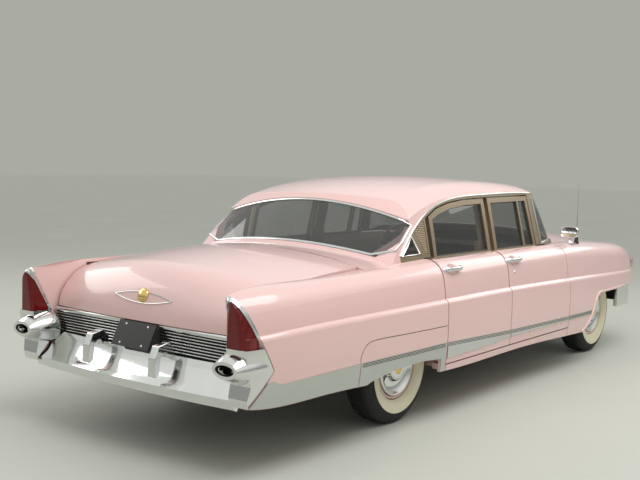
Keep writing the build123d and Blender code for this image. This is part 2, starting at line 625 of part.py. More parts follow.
# Front: lamps, bumper, grille
LAMP_Y, LAMP_Z = 796, 745
with BuildPart() as headlamp:
    with BuildSketch(Plane((FRONT_END_X - 22, LAMP_Y, LAMP_Z), x_dir=(0, 1, 0), z_dir=(1, 0, 0))):
        Circle(70)
    extrude(amount=36)
with BuildPart() as front_fender:
    add(fender.part)
    with BuildSketch(Plane((FRONT_END_X - 22, LAMP_Y, LAMP_Z), x_dir=(0, 1, 0), z_dir=(1, 0, 0))):
        Circle(70 + SEAT_FIT)
    extrude(amount=60, mode=Mode.SUBTRACT)

PLATE_HOLE_SPACING = 178
PLATE_HOLE_RADIUS = 3.5
BUMPER_HALF = [(2330, 905), (2620, 905), (2745, 860), (2806, 700), (2830, 380), (2830, 0)]
with BuildPart() as front_bumper:
    outer = BUMPER_HALF + [(x, -y) for x, y in reversed(BUMPER_HALF[:-1])]
    inner = [(2330, 875), (2610, 875), (2722, 834), (2777, 690), (2800, 376), (2800, -376), (2777, -690),
             (2722, -834), (2610, -875), (2330, -875)]
    add(plan_view(outer, 372, 545))
    add(plan_view([(2200, 875)] + inner + [(2200, -875)], 300, 600), mode=Mode.SUBTRACT)
    for y in (-383, 383):
        add(block((2592 + SEAT_FIT, 2802), (y - 34, y + 34), (310, 470)))
    for y in (-PLATE_HOLE_SPACING / 2, PLATE_HOLE_SPACING / 2):
        add(rod((2700, y, 458), (2900, y, 458), PLATE_HOLE_RADIUS), mode=Mode.SUBTRACT)

with BuildPart() as grille:
    add(block((2690, 2706), (-713 + SEAT_FIT, 713 - SEAT_FIT), (560, 776)))
    for bar in range(6):
        z = 566 + bar * 38
        add(block((2706, 2740), (-706, 706), (z, z + 16)))

# Floor and bulkheads, of flat plates that meet edge to edge
HEEL_X = -860
SILL_INNER_Y = 783.6
BOOT_END_X = -2575
HOUSE_END_X = -1688    # rear wall of the wheel houses inside the boot
PlateRow = namedtuple("PlateRow", "x0 x1 y0 y1 z0 z1")
TUNNEL_TOP_Z = TUNNEL_Z + TUNNEL_SHEET
MIDDLE_PLATES = [PlateRow(*row) for row in (
    (HEEL_X, 1290, -TUNNEL_HALF, TUNNEL_HALF, TUNNEL_Z, TUNNEL_TOP_Z),
    (HEEL_X - 24, HEEL_X - SEAT_FIT, -776, 776, TUNNEL_Z, BOOT_Z - SEAT_FIT),
    (BOOT_END_X, HEEL_X - SEAT_FIT, -628, 628, BOOT_Z, BOOT_Z + TUNNEL_SHEET),
)]
SIDE_PLATES = [PlateRow(*row) for row in (
    (HEEL_X, 1290, TUNNEL_HALF - TUNNEL_SHEET, TUNNEL_HALF, FLOOR_Z, TUNNEL_Z - SEAT_FIT),
    (HEEL_X, 1290, TUNNEL_HALF + SEAT_FIT, SILL_INNER_Y - SEAT_FIT, FLOOR_Z, FLOOR_TOP_Z),
    (HEEL_X - 24, HEEL_X - SEAT_FIT, 430, 776, FLOOR_Z, TUNNEL_Z - SEAT_FIT),
    (BOOT_END_X, HOUSE_END_X - SEAT_FIT, 628 + SEAT_FIT, 770, BOOT_Z, BOOT_Z + TUNNEL_SHEET),
    (HOUSE_END_X, HEEL_X - SEAT_FIT, 628 + SEAT_FIT, 640, BOOT_Z, 748 - SEAT_FIT),
    (HOUSE_END_X, HEEL_X - SEAT_FIT, 628 + SEAT_FIT, 770, 748, 760),
    (HOUSE_END_X, HOUSE_END_X + 12, 640 + SEAT_FIT, 770, BOOT_Z, 748 - SEAT_FIT),
)]


def plates(rows):
    """Solids of flat plates that don't touch."""
    return [block((row.x0, row.x1), (row.y0, row.y1), (row.z0, row.z1)).solid() for row in rows]


SIDE_SOLIDS = plates(SIDE_PLATES)
floor_pan = Compound([*plates(MIDDLE_PLATES), *SIDE_SOLIDS, *[mirror(one, about=Plane.XZ) for one in SIDE_SOLIDS]])

SHIELD_FOOT_Z = 572    # above the upper edge of the front arch
UNDER_HOOD = HOOD_FILL.moved(Location((-16, 0, -SHEET - 4)))
TUNNEL_GAP = block((1200, 1400), (-10, TUNNEL_HALF), (200, TUNNEL_TOP_Z))
with BuildPart() as firewall:
    upper_plate = common(block((1290, 1312), (0, 985), (630, 1200)), UNDER_HOOD)
    plate = joined(block((1290, 1312), (0, 985), (FLOOR_Z, 640)), upper_plate)
    add(whole(largest(trimmed(plate, front_fender.part, TUNNEL_GAP))))
with BuildPart() as radiator_panel:
    shield = trimmed(block((2560, 2582), (0, 940), (SHIELD_FOOT_Z, 860)), front_fender.part)
    inner = shield.solids().sort_by(Axis.Y)[0]
    add(whole(joined(inner, block((2560, 2582), (0, 868), (400, SHIELD_FOOT_Z)))))
    add(block((2530, 2575), (-290, 290), (440, 790)))
    add(block((2530, 2690), (-30, 30), (640, 700)))
with BuildPart() as parcel_shelf:
    shelf = trimmed(block((-1318, -1016), (0, 800), (976, 1000)), quarter.part, rear_deck.part)
    add(whole(joined(largest(shelf), block((-1040, -1016), (0, 626), (BOOT_Z + TUNNEL_SHEET, 980)))))

with BuildPart() as lid_hinge:
    add(lid_arms[1])
    add(largest(trimmed(block((LID_PIN[0] - 14, LID_PIN[0] + 14), (0, 960), (884, 908)), quarter.part)))
with BuildPart() as hood_hinge:
    add(hood_arms[1])
    add(largest(trimmed(block((HOOD_PIN[0] - 14, HOOD_PIN[0] + 14), (0, 985), (924, 948)), front_fender.part)))

# Chassis and running gear
RAIL_TOP_Z = FLOOR_Z - SEAT_FIT
RAIL_Y = (345, 425)
RAIL = [(2592, 400), (1560, 400), (1316, RAIL_TOP_Z), (-890, RAIL_TOP_Z), (-1040, 500), (-1560, 500), (-1760, 420),
        (-2545, 420), (-2545, 330), (-1740, 330), (-1520, 425), (-1080, 425), (-930, 200), (1316, 200), (1560, 300),
        (2592, 300)]
TOW_HOLE_RADIUS = 9.5
CrossRow = namedtuple("CrossRow", "x0 x1 z0 z1")
CROSS = [CrossRow(*row) for row in ((2520, 2590, 310, 390), (1880, 2020, 305, 390), (880, 960, 204, 226),
                                    (-700, -620, 204, 290), (-1860, -1790, 340, 410))]
RAIL_LEFT = side_view(RAIL, *RAIL_Y)
with BuildPart() as tail_member:
    add(block((-2585, -2545 - SEAT_FIT), (-RAIL_Y[1], RAIL_Y[1]), (340, 420)))
    add(rod((-2566, 0, 300), (-2566, 0, 460), TOW_HOLE_RADIUS), mode=Mode.SUBTRACT)
CROSS_SOLIDS = [block((row.x0, row.x1), (SEAT_FIT - RAIL_Y[0], RAIL_Y[0] - SEAT_FIT), (row.z0, row.z1)).solid()
                for row in CROSS]
chassis_frame = Compound([*pair(RAIL_LEFT).solids(), *CROSS_SOLIDS, tail_member.part.solid()])

MOUNT_FOOT = block((1700, 1800), (250 + SEAT_FIT, 400), (400 + SEAT_FIT, 450))
GEARBOX = block((700 + SEAT_FIT, 1440 - SEAT_FIT), (-110, 110), (240, 425))
engine = Compound([block((1440, 2120), (-250, 250), (420, 900)).solid(), GEARBOX.solid(), *pair(MOUNT_FOOT).solids()])
with BuildPart() as drive_line:
    add(rod((699.7, 0, 340), (-1140, 0, 356), 38))
    add(rod((REAR_AXLE_X, -TRACK_REAR / 2 - 36, HUB_Z), (REAR_AXLE_X, TRACK_REAR / 2 + 36, HUB_Z), 30))
    add(rod((REAR_AXLE_X, -690, HUB_Z), (REAR_AXLE_X, 690, HUB_Z), 42))
    add(rod((REAR_AXLE_X + 120, 0, HUB_Z), (REAR_AXLE_X - 130, 0, HUB_Z), 66))
    add(rod((REAR_AXLE_X, -75, HUB_Z), (REAR_AXLE_X, 75, HUB_Z), 120))
    for side in (-1, 1):
        spring = [(-560, 250), (-560, 272), (-1150, 302), (-1350, 302), (-1930, 352), (-1930, 330), (-1350, 276),
                  (-1150, 276)]
        add(side_view(spring, *sorted((side * 520, side * 580))))
        add(block((-1300, -1200), sorted((side * 515, side * 585)), (270, 358)))
        add(block((-600, -560), sorted((side * 425.2, side * 580)), (240, FLOOR_Z - SEAT_FIT)))
        add(block((-1930, -1890), sorted((side * 425.2, side * 560)), (335, 410)))

with BuildPart() as front_suspension:
    for side in (-1, 1):
        for z, reach in ((240, 430), (454, 470)):
            with BuildSketch(Plane.XY.offset(z)):
                with BuildLine():
                    Polyline((FRONT_AXLE_X - 26, side * 664), (FRONT_AXLE_X + 26, side * 664),
                             (FRONT_AXLE_X + 130, side * reach), (FRONT_AXLE_X + 130, side * (reach - 20)),
                             (FRONT_AXLE_X - 130, side * (reach - 20)), (FRONT_AXLE_X - 130, side * reach),
                             close=True)
                make_face()
            extrude(amount=22)
        add(rod((FRONT_AXLE_X, side * KINGPIN_Y, 240), (FRONT_AXLE_X, side * KINGPIN_Y, 476), KINGPIN_RADIUS))
        add(block((FRONT_AXLE_X - 130, FRONT_AXLE_X + 130), sorted((side * 425.2, side * 456)), (240, 476)))

KNUCKLE_HALF_Z = 88
with BuildPart() as knuckle:
    add(block((FRONT_AXLE_X - 34, FRONT_AXLE_X + 34), (606, 676), (HUB_Z - KNUCKLE_HALF_Z, HUB_Z + KNUCKLE_HALF_Z)))
    add(rod((FRONT_AXLE_X, 676, HUB_Z), (FRONT_AXLE_X, TRACK_FRONT / 2 + 36, HUB_Z), 30))
    add(rod((FRONT_AXLE_X, KINGPIN_Y, 100), (FRONT_AXLE_X, KINGPIN_Y, 600), KINGPIN_RADIUS + PIN_FIT),
        mode=Mode.SUBTRACT)

WheelRow = namedtuple("WheelRow", "label x y")
WHEELS = [WheelRow("front", FRONT_AXLE_X, TRACK_FRONT / 2), WheelRow("rear", REAR_AXLE_X, TRACK_REAR / 2)]
BEAD = 201
wheels, tyres = {}, {}
for row in WHEELS:
    hub_plane = Plane((row.x, row.y, HUB_Z), x_dir=(0, 0, 1), z_dir=(-1, 0, 0))
    with BuildPart() as wheel:
        with BuildSketch(hub_plane):
            with BuildLine():
                Polyline((0, 40), (30 + PIN_FIT, 40), (30 + PIN_FIT, -26), (62, -26), (62, 22), (186, 22), (186, -80),
                         (BEAD - SEAT_FIT, -80), (BEAD - SEAT_FIT, 70), (160, 76), (60, 88), (0, 90), close=True)
            make_face()
        revolve(axis=Axis((row.x, row.y, HUB_Z), (0, 1, 0)))
    with BuildPart() as tyre:
        with BuildSketch(hub_plane):
            with BuildLine():
                Line((BEAD, -78), (BEAD, 78))
                ThreePointArc((BEAD, 78), (276, TYRE_WIDTH / 2), (338, 82))
                ThreePointArc((338, 82), (352, 68), (TYRE_RADIUS - 2, 50))
                ThreePointArc((TYRE_RADIUS - 2, 50), (TYRE_RADIUS, 0), (TYRE_RADIUS - 2, -50))
                ThreePointArc((TYRE_RADIUS - 2, -50), (352, -68), (338, -82))
                ThreePointArc((338, -82), (276, -TYRE_WIDTH / 2), (BEAD, -78))
            make_face()
        revolve(axis=Axis((row.x, row.y, HUB_Z), (0, 1, 0)))
    wheels[row.label], tyres[row.label] = wheel.part, tyre.part

with BuildPart() as exhaust:
    for side in (-1, 1):
        add(rod((1300, side * 240, 270), (-520, side * 240, 270), 26))
        add(block((-560, -100), sorted((side * 190, side * 320)), (215, FLOOR_Z - SEAT_FIT)))
with BuildPart() as fuel_tank:
    add(block((-2440, -1880), (-330, 330), (335, BOOT_Z - SEAT_FIT)))

# Cabin furniture
with BuildPart() as front_seat:
    add(block((-170, 400), (-690, 690), (TUNNEL_TOP_Z + SEAT_FIT, 590)))
    add(side_view([(-170, 500), (-40, 500), (-110, 960), (-150, 985), (-225, 970)], -690, 690))
    for side in (-1, 1):
        add(block((-150, 360), sorted((side * 400, side * 440)), (FLOOR_TOP_Z + SEAT_FIT, 480)))
with BuildPart() as rear_seat:
    add(block((-800, -420), (-620, 620), (TUNNEL_TOP_Z + SEAT_FIT, 600)))
    add(block((-858, -420), (-620, 620), (540, 600)))
    add(side_view([(-1015.7, 540), (-830, 540), (-910, 950), (-950, 975), (-1015.7, 975)], -620, 620))
    for side in (-1, 1):
        add(block((-780, -440), sorted((side * 400, side * 440)), (FLOOR_TOP_Z + SEAT_FIT, 480)))
COLUMN_TOP = (640, 370, 905)
COLUMN_RADIUS = 28
COLUMN_LENGTH = 671
COLUMN_FOOT = (640 + 0.95366 * COLUMN_LENGTH, 370, 905 - 0.3009 * COLUMN_LENGTH)
COLUMN = Vector(*COLUMN_FOOT) - Vector(*COLUMN_TOP)
with BuildPart() as dashboard:
    add(side_view([(930, 800), (900, 960), (960, 985), (1180, 985), (1180, 900), (1290 - SEAT_FIT, 860),
                   (1290 - SEAT_FIT, 800)], -700, 700))
    add(rod(COLUMN_FOOT, COLUMN_TOP, COLUMN_RADIUS + SEAT_FIT), mode=Mode.SUBTRACT)
with BuildPart() as steering_column:
    add(rod(COLUMN_FOOT, COLUMN_TOP, COLUMN_RADIUS))
WHEEL_PLANE = Plane(COLUMN_TOP, z_dir=COLUMN * -1)
with BuildPart() as column_bore:
    with BuildSketch(WHEEL_PLANE.offset(-60)):
        Circle(12 + PIN_FIT)
    extrude(amount=70)
with BuildPart() as steering_wheel:
    with BuildSketch(WHEEL_PLANE.offset(-56)):
        Circle(12)
    extrude(amount=62)
    with BuildSketch(WHEEL_PLANE.offset(6)):
        Circle(44)
    extrude(amount=36)
    with BuildSketch(WHEEL_PLANE.offset(20)):
        Rectangle(400, 26)
        Rectangle(26, 400)
    extrude(amount=12)
    with BuildSketch(Plane(WHEEL_PLANE.origin + WHEEL_PLANE.z_dir * 26, x_dir=WHEEL_PLANE.z_dir,
                           z_dir=WHEEL_PLANE.x_dir * -1)):
        with Locations((0, 205)):
            Circle(14)
    revolve(axis=Axis(WHEEL_PLANE.origin, WHEEL_PLANE.z_dir))

# Small fittings on the fenders
with BuildPart() as mirror_left:
    add(trimmed(rod((1290, 868, 980), (1290, 868, 1075), 11), WALL))
    add(rod((1268, 868, 1098), (1318, 868, 1098), 62))
with BuildPart() as antenna:
    mast = joined(rod((1440, 862, 960), (1440, 862, 1032), 20), rod((1440, 862, 1030), (1440, 862, 1460), 4))
    add(mirrored(trimmed(mast, WALL)))

HINGES = Compound([*pair(hinge_posts.part).solids(), whole(lid_hinge.part).solid(), whole(hood_hinge.part).solid()])
PIECES = {
    "roof": roof.part, "windshield": windshield.part, "backlight": backlight.part,
    "quarter_glass": pair(quarter_glass.part), "pillar_louvres": pair(pillar_louvre.part), "cowl": cowl.part,
    "rear_deck": rear_deck.part, "hinges": HINGES, "sills": pair(sill.part),
    "front_fenders": pair(front_fender.part), "quarter_panels": pair(quarter.part),
    "fender_skirts": pair(skirt.part), "side_mouldings": pair(mouldings.part),
    "tail_lamps": pair(tail_lamp.part), "tail_panel": tail_panel.part, "licence_plate": licence_plate.part,
    "rear_bumper": rear_bumper.part, "front_bumper": front_bumper.part, "grille": grille.part,
    "headlamps": pair(headlamp.part), "floor_pan": floor_pan, "firewall": firewall.part,
    "radiator_panel": radiator_panel.part, "parcel_shelf": parcel_shelf.part,
    "chassis_frame": chassis_frame, "engine": engine, "drive_line": drive_line.part,
    "front_suspension": front_suspension.part, "exhaust": exhaust.part, "fuel_tank": fuel_tank.part,
    "front_seat": front_seat.part, "rear_seat": rear_seat.part, "dashboard": dashboard.part,
    "steering_column": trimmed(steering_column.part, column_bore.part), "steering_wheel": steering_wheel.part,
    "fender_fittings": Compound([*pair(mirror_left.part).solids(), antenna.part.solid()]),
    "hood": hood.part, "trunk_lid": trunk_lid.part,
    "knuckle_left": knuckle.part, "knuckle_right": mirrored(knuckle.part),
}
for name in ("front", "rear"):
    for side, turn in (("left", joined), ("right", mirrored)):
        PIECES[f"door_{name}_{side}"] = turn(doors[name])
        PIECES[f"glass_{name}_{side}"] = turn(door_glass[name])
        PIECES[f"trim_{name}_{side}"] = turn(door_trim[name])
        PIECES[f"wheel_{name}_{side}"] = turn(wheels[name])
        PIECES[f"tyre_{name}_{side}"] = turn(tyres[name])
for label, piece in PIECES.items():
    piece.label = label
    export_step(piece, f"parts/{label}.step")
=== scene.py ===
"""Dresses the four-door saloon: enamel, bright metal, glass, tyres, padded benches and the studio."""

import json
import logging
import math
from dataclasses import dataclass
from enum import Enum
from typing import Callable, Iterable, Sequence

import bmesh
import bpy
from mathutils import Matrix, Vector
from mathutils.bvhtree import BVHTree
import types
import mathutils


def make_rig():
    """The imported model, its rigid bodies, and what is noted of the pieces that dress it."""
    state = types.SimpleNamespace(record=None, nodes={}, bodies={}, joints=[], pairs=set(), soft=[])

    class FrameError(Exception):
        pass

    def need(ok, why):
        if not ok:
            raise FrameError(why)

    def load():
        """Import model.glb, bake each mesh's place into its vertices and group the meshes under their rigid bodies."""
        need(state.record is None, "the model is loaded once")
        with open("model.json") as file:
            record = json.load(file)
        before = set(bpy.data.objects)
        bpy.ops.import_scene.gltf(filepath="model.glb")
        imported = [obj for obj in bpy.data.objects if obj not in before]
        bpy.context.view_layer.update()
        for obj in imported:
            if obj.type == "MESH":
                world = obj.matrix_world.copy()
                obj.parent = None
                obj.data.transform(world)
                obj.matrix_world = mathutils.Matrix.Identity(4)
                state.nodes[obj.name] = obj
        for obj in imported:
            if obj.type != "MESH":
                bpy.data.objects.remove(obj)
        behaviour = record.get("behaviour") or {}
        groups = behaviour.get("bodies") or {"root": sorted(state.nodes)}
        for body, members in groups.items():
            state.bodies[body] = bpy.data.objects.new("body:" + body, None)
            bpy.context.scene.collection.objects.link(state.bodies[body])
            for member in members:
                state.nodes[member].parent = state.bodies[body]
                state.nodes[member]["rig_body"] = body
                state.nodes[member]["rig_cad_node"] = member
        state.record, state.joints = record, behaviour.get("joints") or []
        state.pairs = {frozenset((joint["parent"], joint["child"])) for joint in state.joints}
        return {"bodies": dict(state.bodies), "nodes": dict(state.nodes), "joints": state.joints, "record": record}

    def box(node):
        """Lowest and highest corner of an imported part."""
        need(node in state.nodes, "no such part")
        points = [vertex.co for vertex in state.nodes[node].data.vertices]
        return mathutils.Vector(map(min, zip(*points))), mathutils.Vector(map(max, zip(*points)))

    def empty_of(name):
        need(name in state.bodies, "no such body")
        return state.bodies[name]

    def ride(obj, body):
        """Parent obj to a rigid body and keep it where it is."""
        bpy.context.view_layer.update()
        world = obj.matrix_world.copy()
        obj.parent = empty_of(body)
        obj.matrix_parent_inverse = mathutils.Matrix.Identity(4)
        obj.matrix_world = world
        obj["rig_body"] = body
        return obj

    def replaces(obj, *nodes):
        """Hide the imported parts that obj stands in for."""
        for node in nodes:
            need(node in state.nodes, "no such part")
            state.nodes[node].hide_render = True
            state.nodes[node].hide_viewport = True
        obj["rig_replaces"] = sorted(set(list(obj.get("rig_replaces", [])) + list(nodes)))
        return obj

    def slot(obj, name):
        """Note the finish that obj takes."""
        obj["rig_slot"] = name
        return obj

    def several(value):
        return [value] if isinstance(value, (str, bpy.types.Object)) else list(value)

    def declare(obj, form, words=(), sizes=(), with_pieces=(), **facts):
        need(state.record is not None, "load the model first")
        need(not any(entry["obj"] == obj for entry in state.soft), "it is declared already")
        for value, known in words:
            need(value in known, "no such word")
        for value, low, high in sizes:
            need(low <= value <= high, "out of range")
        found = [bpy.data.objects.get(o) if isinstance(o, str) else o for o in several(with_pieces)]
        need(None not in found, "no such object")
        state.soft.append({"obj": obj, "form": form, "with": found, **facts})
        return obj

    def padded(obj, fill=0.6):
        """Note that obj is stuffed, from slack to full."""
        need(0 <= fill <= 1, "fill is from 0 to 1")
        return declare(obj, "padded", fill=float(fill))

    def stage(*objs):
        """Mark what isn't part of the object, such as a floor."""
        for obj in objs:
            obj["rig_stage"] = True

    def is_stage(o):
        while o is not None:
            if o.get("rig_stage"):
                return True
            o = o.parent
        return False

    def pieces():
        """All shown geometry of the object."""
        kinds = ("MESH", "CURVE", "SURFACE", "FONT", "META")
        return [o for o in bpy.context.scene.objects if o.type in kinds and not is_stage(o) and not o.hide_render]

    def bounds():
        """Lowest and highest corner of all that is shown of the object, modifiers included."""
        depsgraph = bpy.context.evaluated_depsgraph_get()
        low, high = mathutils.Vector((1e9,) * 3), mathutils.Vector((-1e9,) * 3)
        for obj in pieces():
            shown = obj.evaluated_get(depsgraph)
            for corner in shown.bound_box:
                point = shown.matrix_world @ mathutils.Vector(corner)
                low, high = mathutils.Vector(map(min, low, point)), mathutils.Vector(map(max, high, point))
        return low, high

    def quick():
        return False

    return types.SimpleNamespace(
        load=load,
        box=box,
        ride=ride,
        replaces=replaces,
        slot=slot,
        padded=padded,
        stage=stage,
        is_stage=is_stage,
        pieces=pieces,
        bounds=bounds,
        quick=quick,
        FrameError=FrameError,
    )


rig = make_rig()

LOG = logging.getLogger("saloon")
Colour = tuple[float, float, float]
Place = tuple[float, float, float]
Pair = tuple[float, float]
Profile = tuple[Pair, ...]
Spot = tuple[Vector, Vector]


class Side(Enum):
    """The two sides of the car, with the sign of their Y."""

    LEFT = 1
    RIGHT = -1

    @property
    def word(self) -> str:
        """The side as it stands in node names."""
        return self.name.lower()


class Axle(Enum):
    """The two axles and doorways, as they stand in node names."""

    FRONT = "front"
    REAR = "rear"


class Slot(Enum):
    """Material slots of the record."""

    PAINT = "paint"
    GLASS = "glass"
    CHROME = "chrome"
    GOLD = "gold"
    STEEL = "steel"
    BLACK_STEEL = "black_steel"
    LENS = "lens"
    LAMP_GLASS = "lamp_glass"
    PLATE = "plate"
    CABIN_PLASTIC = "cabin_plastic"
    CLOTH = "cloth"
    TYRE = "tyre"


class Socket:
    """One output of a shader node, with arithmetic on single values."""

    def __init__(self, graph: "Graph", link: bpy.types.NodeSocket) -> None:
        """Keep the graph and the output that is wrapped."""
        self.graph = graph
        self.link = link

    def _maths(self, operation: str, first: "Socket | float", second: "Socket | float") -> "Socket":
        """Add one Math node.

        Args:
            operation: Blender's name of the operation.
            first: left operand.
            second: right operand.

        Returns:
            The node's output.
        """
        return self.graph.node("ShaderNodeMath", {"operation": operation}, {0: first, 1: second})

    def __add__(self, other: "Socket | float") -> "Socket":
        """Sum of two values."""
        return self._maths("ADD", self, other)

    def __sub__(self, other: "Socket | float") -> "Socket":
        """This value less another."""
        return self._maths("SUBTRACT", self, other)

    def __rsub__(self, other: float) -> "Socket":
        """A number less this value."""
        return self._maths("SUBTRACT", other, self)

    def __mul__(self, other: "Socket | float") -> "Socket":
        """Product of two values."""
        return self._maths("MULTIPLY", self, other)

    def __truediv__(self, other: "Socket | float") -> "Socket":
        """This value over another."""
        return self._maths("DIVIDE", self, other)

    def __pow__(self, other: float) -> "Socket":
        """This value raised to a power."""
        return self._maths("POWER", self, other)

    def __abs__(self) -> "Socket":
        """Size of this value."""
        return self._maths("ABSOLUTE", self, 0.0)

    def __gt__(self, other: "Socket | float") -> "Socket":
        """One where this value is larger."""
        return self._maths("GREATER_THAN", self, other)

    def __lt__(self, other: "Socket | float") -> "Socket":
        """One where this value is smaller."""
        return self._maths("LESS_THAN", self, other)

    def wave(self, pitch: float) -> "Socket":
        """Sine of this length, from 0 to 1 and back once in each pitch."""
        return self._maths("SINE", self * (2 * math.pi / pitch), 0.0) * 0.5 + 0.5

    def between(self, low: float, high: float) -> "Socket":
        """Rise from 0 to 1 as this value goes from low to high."""
        return self.graph.node("ShaderNodeMapRange", {"interpolation_type": "SMOOTHSTEP"},
                               {0: self, 1: low, 2: high, 3: 0.0, 4: 1.0})


class Graph:
    """Shader nodes of one material."""

    def __init__(self, name: str) -> None:
        """Start an empty material of that name."""
        self.material = bpy.data.materials.new(name)
        self.material.use_nodes = True
        self.tree = self.material.node_tree
        self.tree.nodes.clear()

    def node(self, kind: str, settings: dict | None = None, inputs: dict | None = None,
             out: int | str = 0) -> Socket:
        """Add a node.

        Args:
            kind: Blender's type name of the node.
            settings: its properties, or a ramp's stops, which are set first.
            inputs: numbers or sockets by input name or number.
            out: the output that is wanted.

        Returns:
            That output.
        """
        made = self.tree.nodes.new(kind)
        for key, value in (settings or {}).items():
            if key == "stops":
                band = made.color_ramp.elements
                band[0].position, band[-1].position = value[0][0], value[-1][0]
                for place, _ in value[1:-1]:
                    band.new(place)
                for stop, (_, grey) in zip(band, value):
                    stop.color = (grey, grey, grey, 1)
            else:
                setattr(made, key, value)
        for key, value in (inputs or {}).items():
            if isinstance(value, Socket):
                self.tree.links.new(value.link, made.inputs[key])
            else:
                made.inputs[key].default_value = value
        return Socket(self, made.outputs[out])

    def place(self) -> Socket:
        """Object coordinates, which are the car's own frame in metres."""
        return self.node("ShaderNodeTexCoord", out="Object")

    def axes(self) -> tuple[Socket, Socket, Socket]:
        """The three coordinates apart."""
        apart = self.node("ShaderNodeSeparateXYZ", inputs={0: self.place()})
        return tuple(Socket(self, link) for link in apart.link.node.outputs)

    def noise(self, scale: float, detail: float = 3.0, stretch: Colour = (1, 1, 1)) -> Socket:
        """Soft noise.

        Args:
            scale: features in a metre.
            detail: octaves.
            stretch: scale along each axis.

        Returns:
            A value about 0.5.
        """
        at = self.node("ShaderNodeMapping", {}, {"Vector": self.place(), "Scale": stretch})
        return self.node("ShaderNodeTexNoise", {}, {"Vector": at, "Scale": scale, "Detail": detail})

    def mix(self, share: "Socket | float", first: "Socket | Colour", second: "Socket | Colour") -> Socket:
        """Blend of two colours.

        Args:
            share: how much of the second colour.
            first: colour at 0.
            second: colour at 1.

        Returns:
            The blended colour.
        """
        pads = [c if isinstance(c, Socket) else (*c, 1.0) for c in (first, second)]
        return self.node("ShaderNodeMix", {"data_type": "RGBA"}, {0: share, 6: pads[0], 7: pads[1]}, out=2)

    def bump(self, height: Socket, strength: float, depth: float) -> Socket:
        """Normal that follows a height.

        Args:
            height: from 0 to 1.
            strength: share of the effect.
            depth: metres from 0 to 1.

        Returns:
            The normal.
        """
        return self.node("ShaderNodeBump", {}, {"Height": height, "Strength": strength, "Distance": depth})

    def surface(self, inputs: dict) -> bpy.types.Material:
        """Close the material with one surface shader.

        Args:
            inputs: its sockets by name, numbers or links.

        Returns:
            The material.
        """
        shade = self.node("ShaderNodeBsdfPrincipled", {}, inputs)
        end = self.tree.nodes.new("ShaderNodeOutputMaterial")
        self.tree.links.new(shade.link, end.inputs["Surface"])
        return self.material


@dataclass(frozen=True)
class Finish:
    """A finish of the car, made into a material once."""

    name: str

    def material(self) -> bpy.types.Material:
        """The finish's material."""
        return bpy.data.materials.get(self.name) or self.shade(Graph(self.name))

    def shade(self, g: Graph) -> bpy.types.Material:
        """Build the nodes; each finish has its own."""
        raise NotImplementedError


@dataclass(frozen=True)
class Enamel(Finish):
    """Body enamel with gloss, faint orange peel and dust low down, and gold frames above a line."""

    colour: Colour = (0.800, 0.540, 0.528)
    deep: Colour = (0.775, 0.512, 0.500)
    dust: Colour = (0.67, 0.51, 0.47)
    frame: Colour = (0.42, 0.335, 0.235)
    frame_line: Profile = ()
    frame_side: float = 0.0
    frame_foot: float = 9.0

    def shade(self, g: Graph) -> bpy.types.Material:
        """Pink coat over slow changes of tone."""
        x, y, z = g.axes()
        tone = g.noise(1.6, 2)
        base = g.mix(tone, self.colour, self.deep)
        low = (1 - z.between(0.26, 0.5)) * g.noise(9, 4)
        base = g.mix(low * 0.7, base, self.dust)
        rough = g.noise(22, 4) * 0.10 + low * 0.2 + 0.20
        metal: Socket | float = 0.0
        coat: Socket | float = 0.8
        if self.frame_line:
            ends = [p[0] for p in self.frame_line]
            reach = ends[-1] - ends[0]
            stops = [((px - ends[0]) / reach, pz / 2) for px, pz in self.frame_line]
            line = g.node("ShaderNodeValToRGB", {"stops": stops}, {0: (x - ends[0]) / reach})
            under = (z < line * 2.0) * (abs(y) > self.frame_side) * (x > ends[0])
            base, rough, metal = self.gild(g, under, base, rough)
            coat = (1 - under) * 0.8
        elif self.frame_foot < 3:
            above = z.between(self.frame_foot, self.frame_foot + 0.004)
            base, rough, metal = self.gild(g, above, base, rough)
            coat = (1 - above) * 0.8
        peel = g.noise(330, 1)
        return g.surface({"Base Color": base, "Roughness": rough, "Metallic": metal, "Coat Weight": coat,
                          "Coat Roughness": 0.05, "Normal": g.bump(peel, 0.06, 0.0008)})

    def gild(self, g: Graph, mask: Socket, base: Socket, rough: Socket) -> tuple[Socket, Socket, Socket]:
        """Gold anodised metal where the mask is one.

        Args:
            g: the graph.
            mask: one on the frames.
            base: enamel colour.
            rough: enamel roughness.

        Returns:
            Colour, roughness and metal share.
        """
        grain = g.noise(40, 3, (0.2, 1, 3))
        gold = g.mix(grain, self.frame, tuple(c * 0.86 for c in self.frame))
        return g.mix(mask, base, gold), rough * (1 - mask) + mask * (grain * 0.16 + 0.26), mask * 0.85


@dataclass(frozen=True)
class BrightMetal(Finish):
    """Plated or polished metal with haze, and brush marks along the car where it is brushed."""

    colour: Colour = (0.80, 0.81, 0.80)
    gloss: float = 0.05
    haze: float = 0.08
    brush: float = 0.0
    share: float = 1.0

    def shade(self, g: Graph) -> bpy.types.Material:
        """Metal with smears of haze."""
        smear = g.noise(7, 5, (0.5, 1, 1.6))
        spots = g.noise(90, 2)
        base = g.mix(smear, self.colour, tuple(c * 0.9 for c in self.colour))
        rough = smear * self.haze + spots * 0.02 + self.gloss
        inputs = {"Base Color": base, "Roughness": rough, "Metallic": self.share}
        if self.brush:
            lines = g.noise(420, 2, (0.02, 1, 1))
            inputs["Normal"] = g.bump(lines, self.brush, 0.0006)
        else:
            inputs["Normal"] = g.bump(g.noise(3.5, 2), 0.05, 0.004)
        return g.surface(inputs)


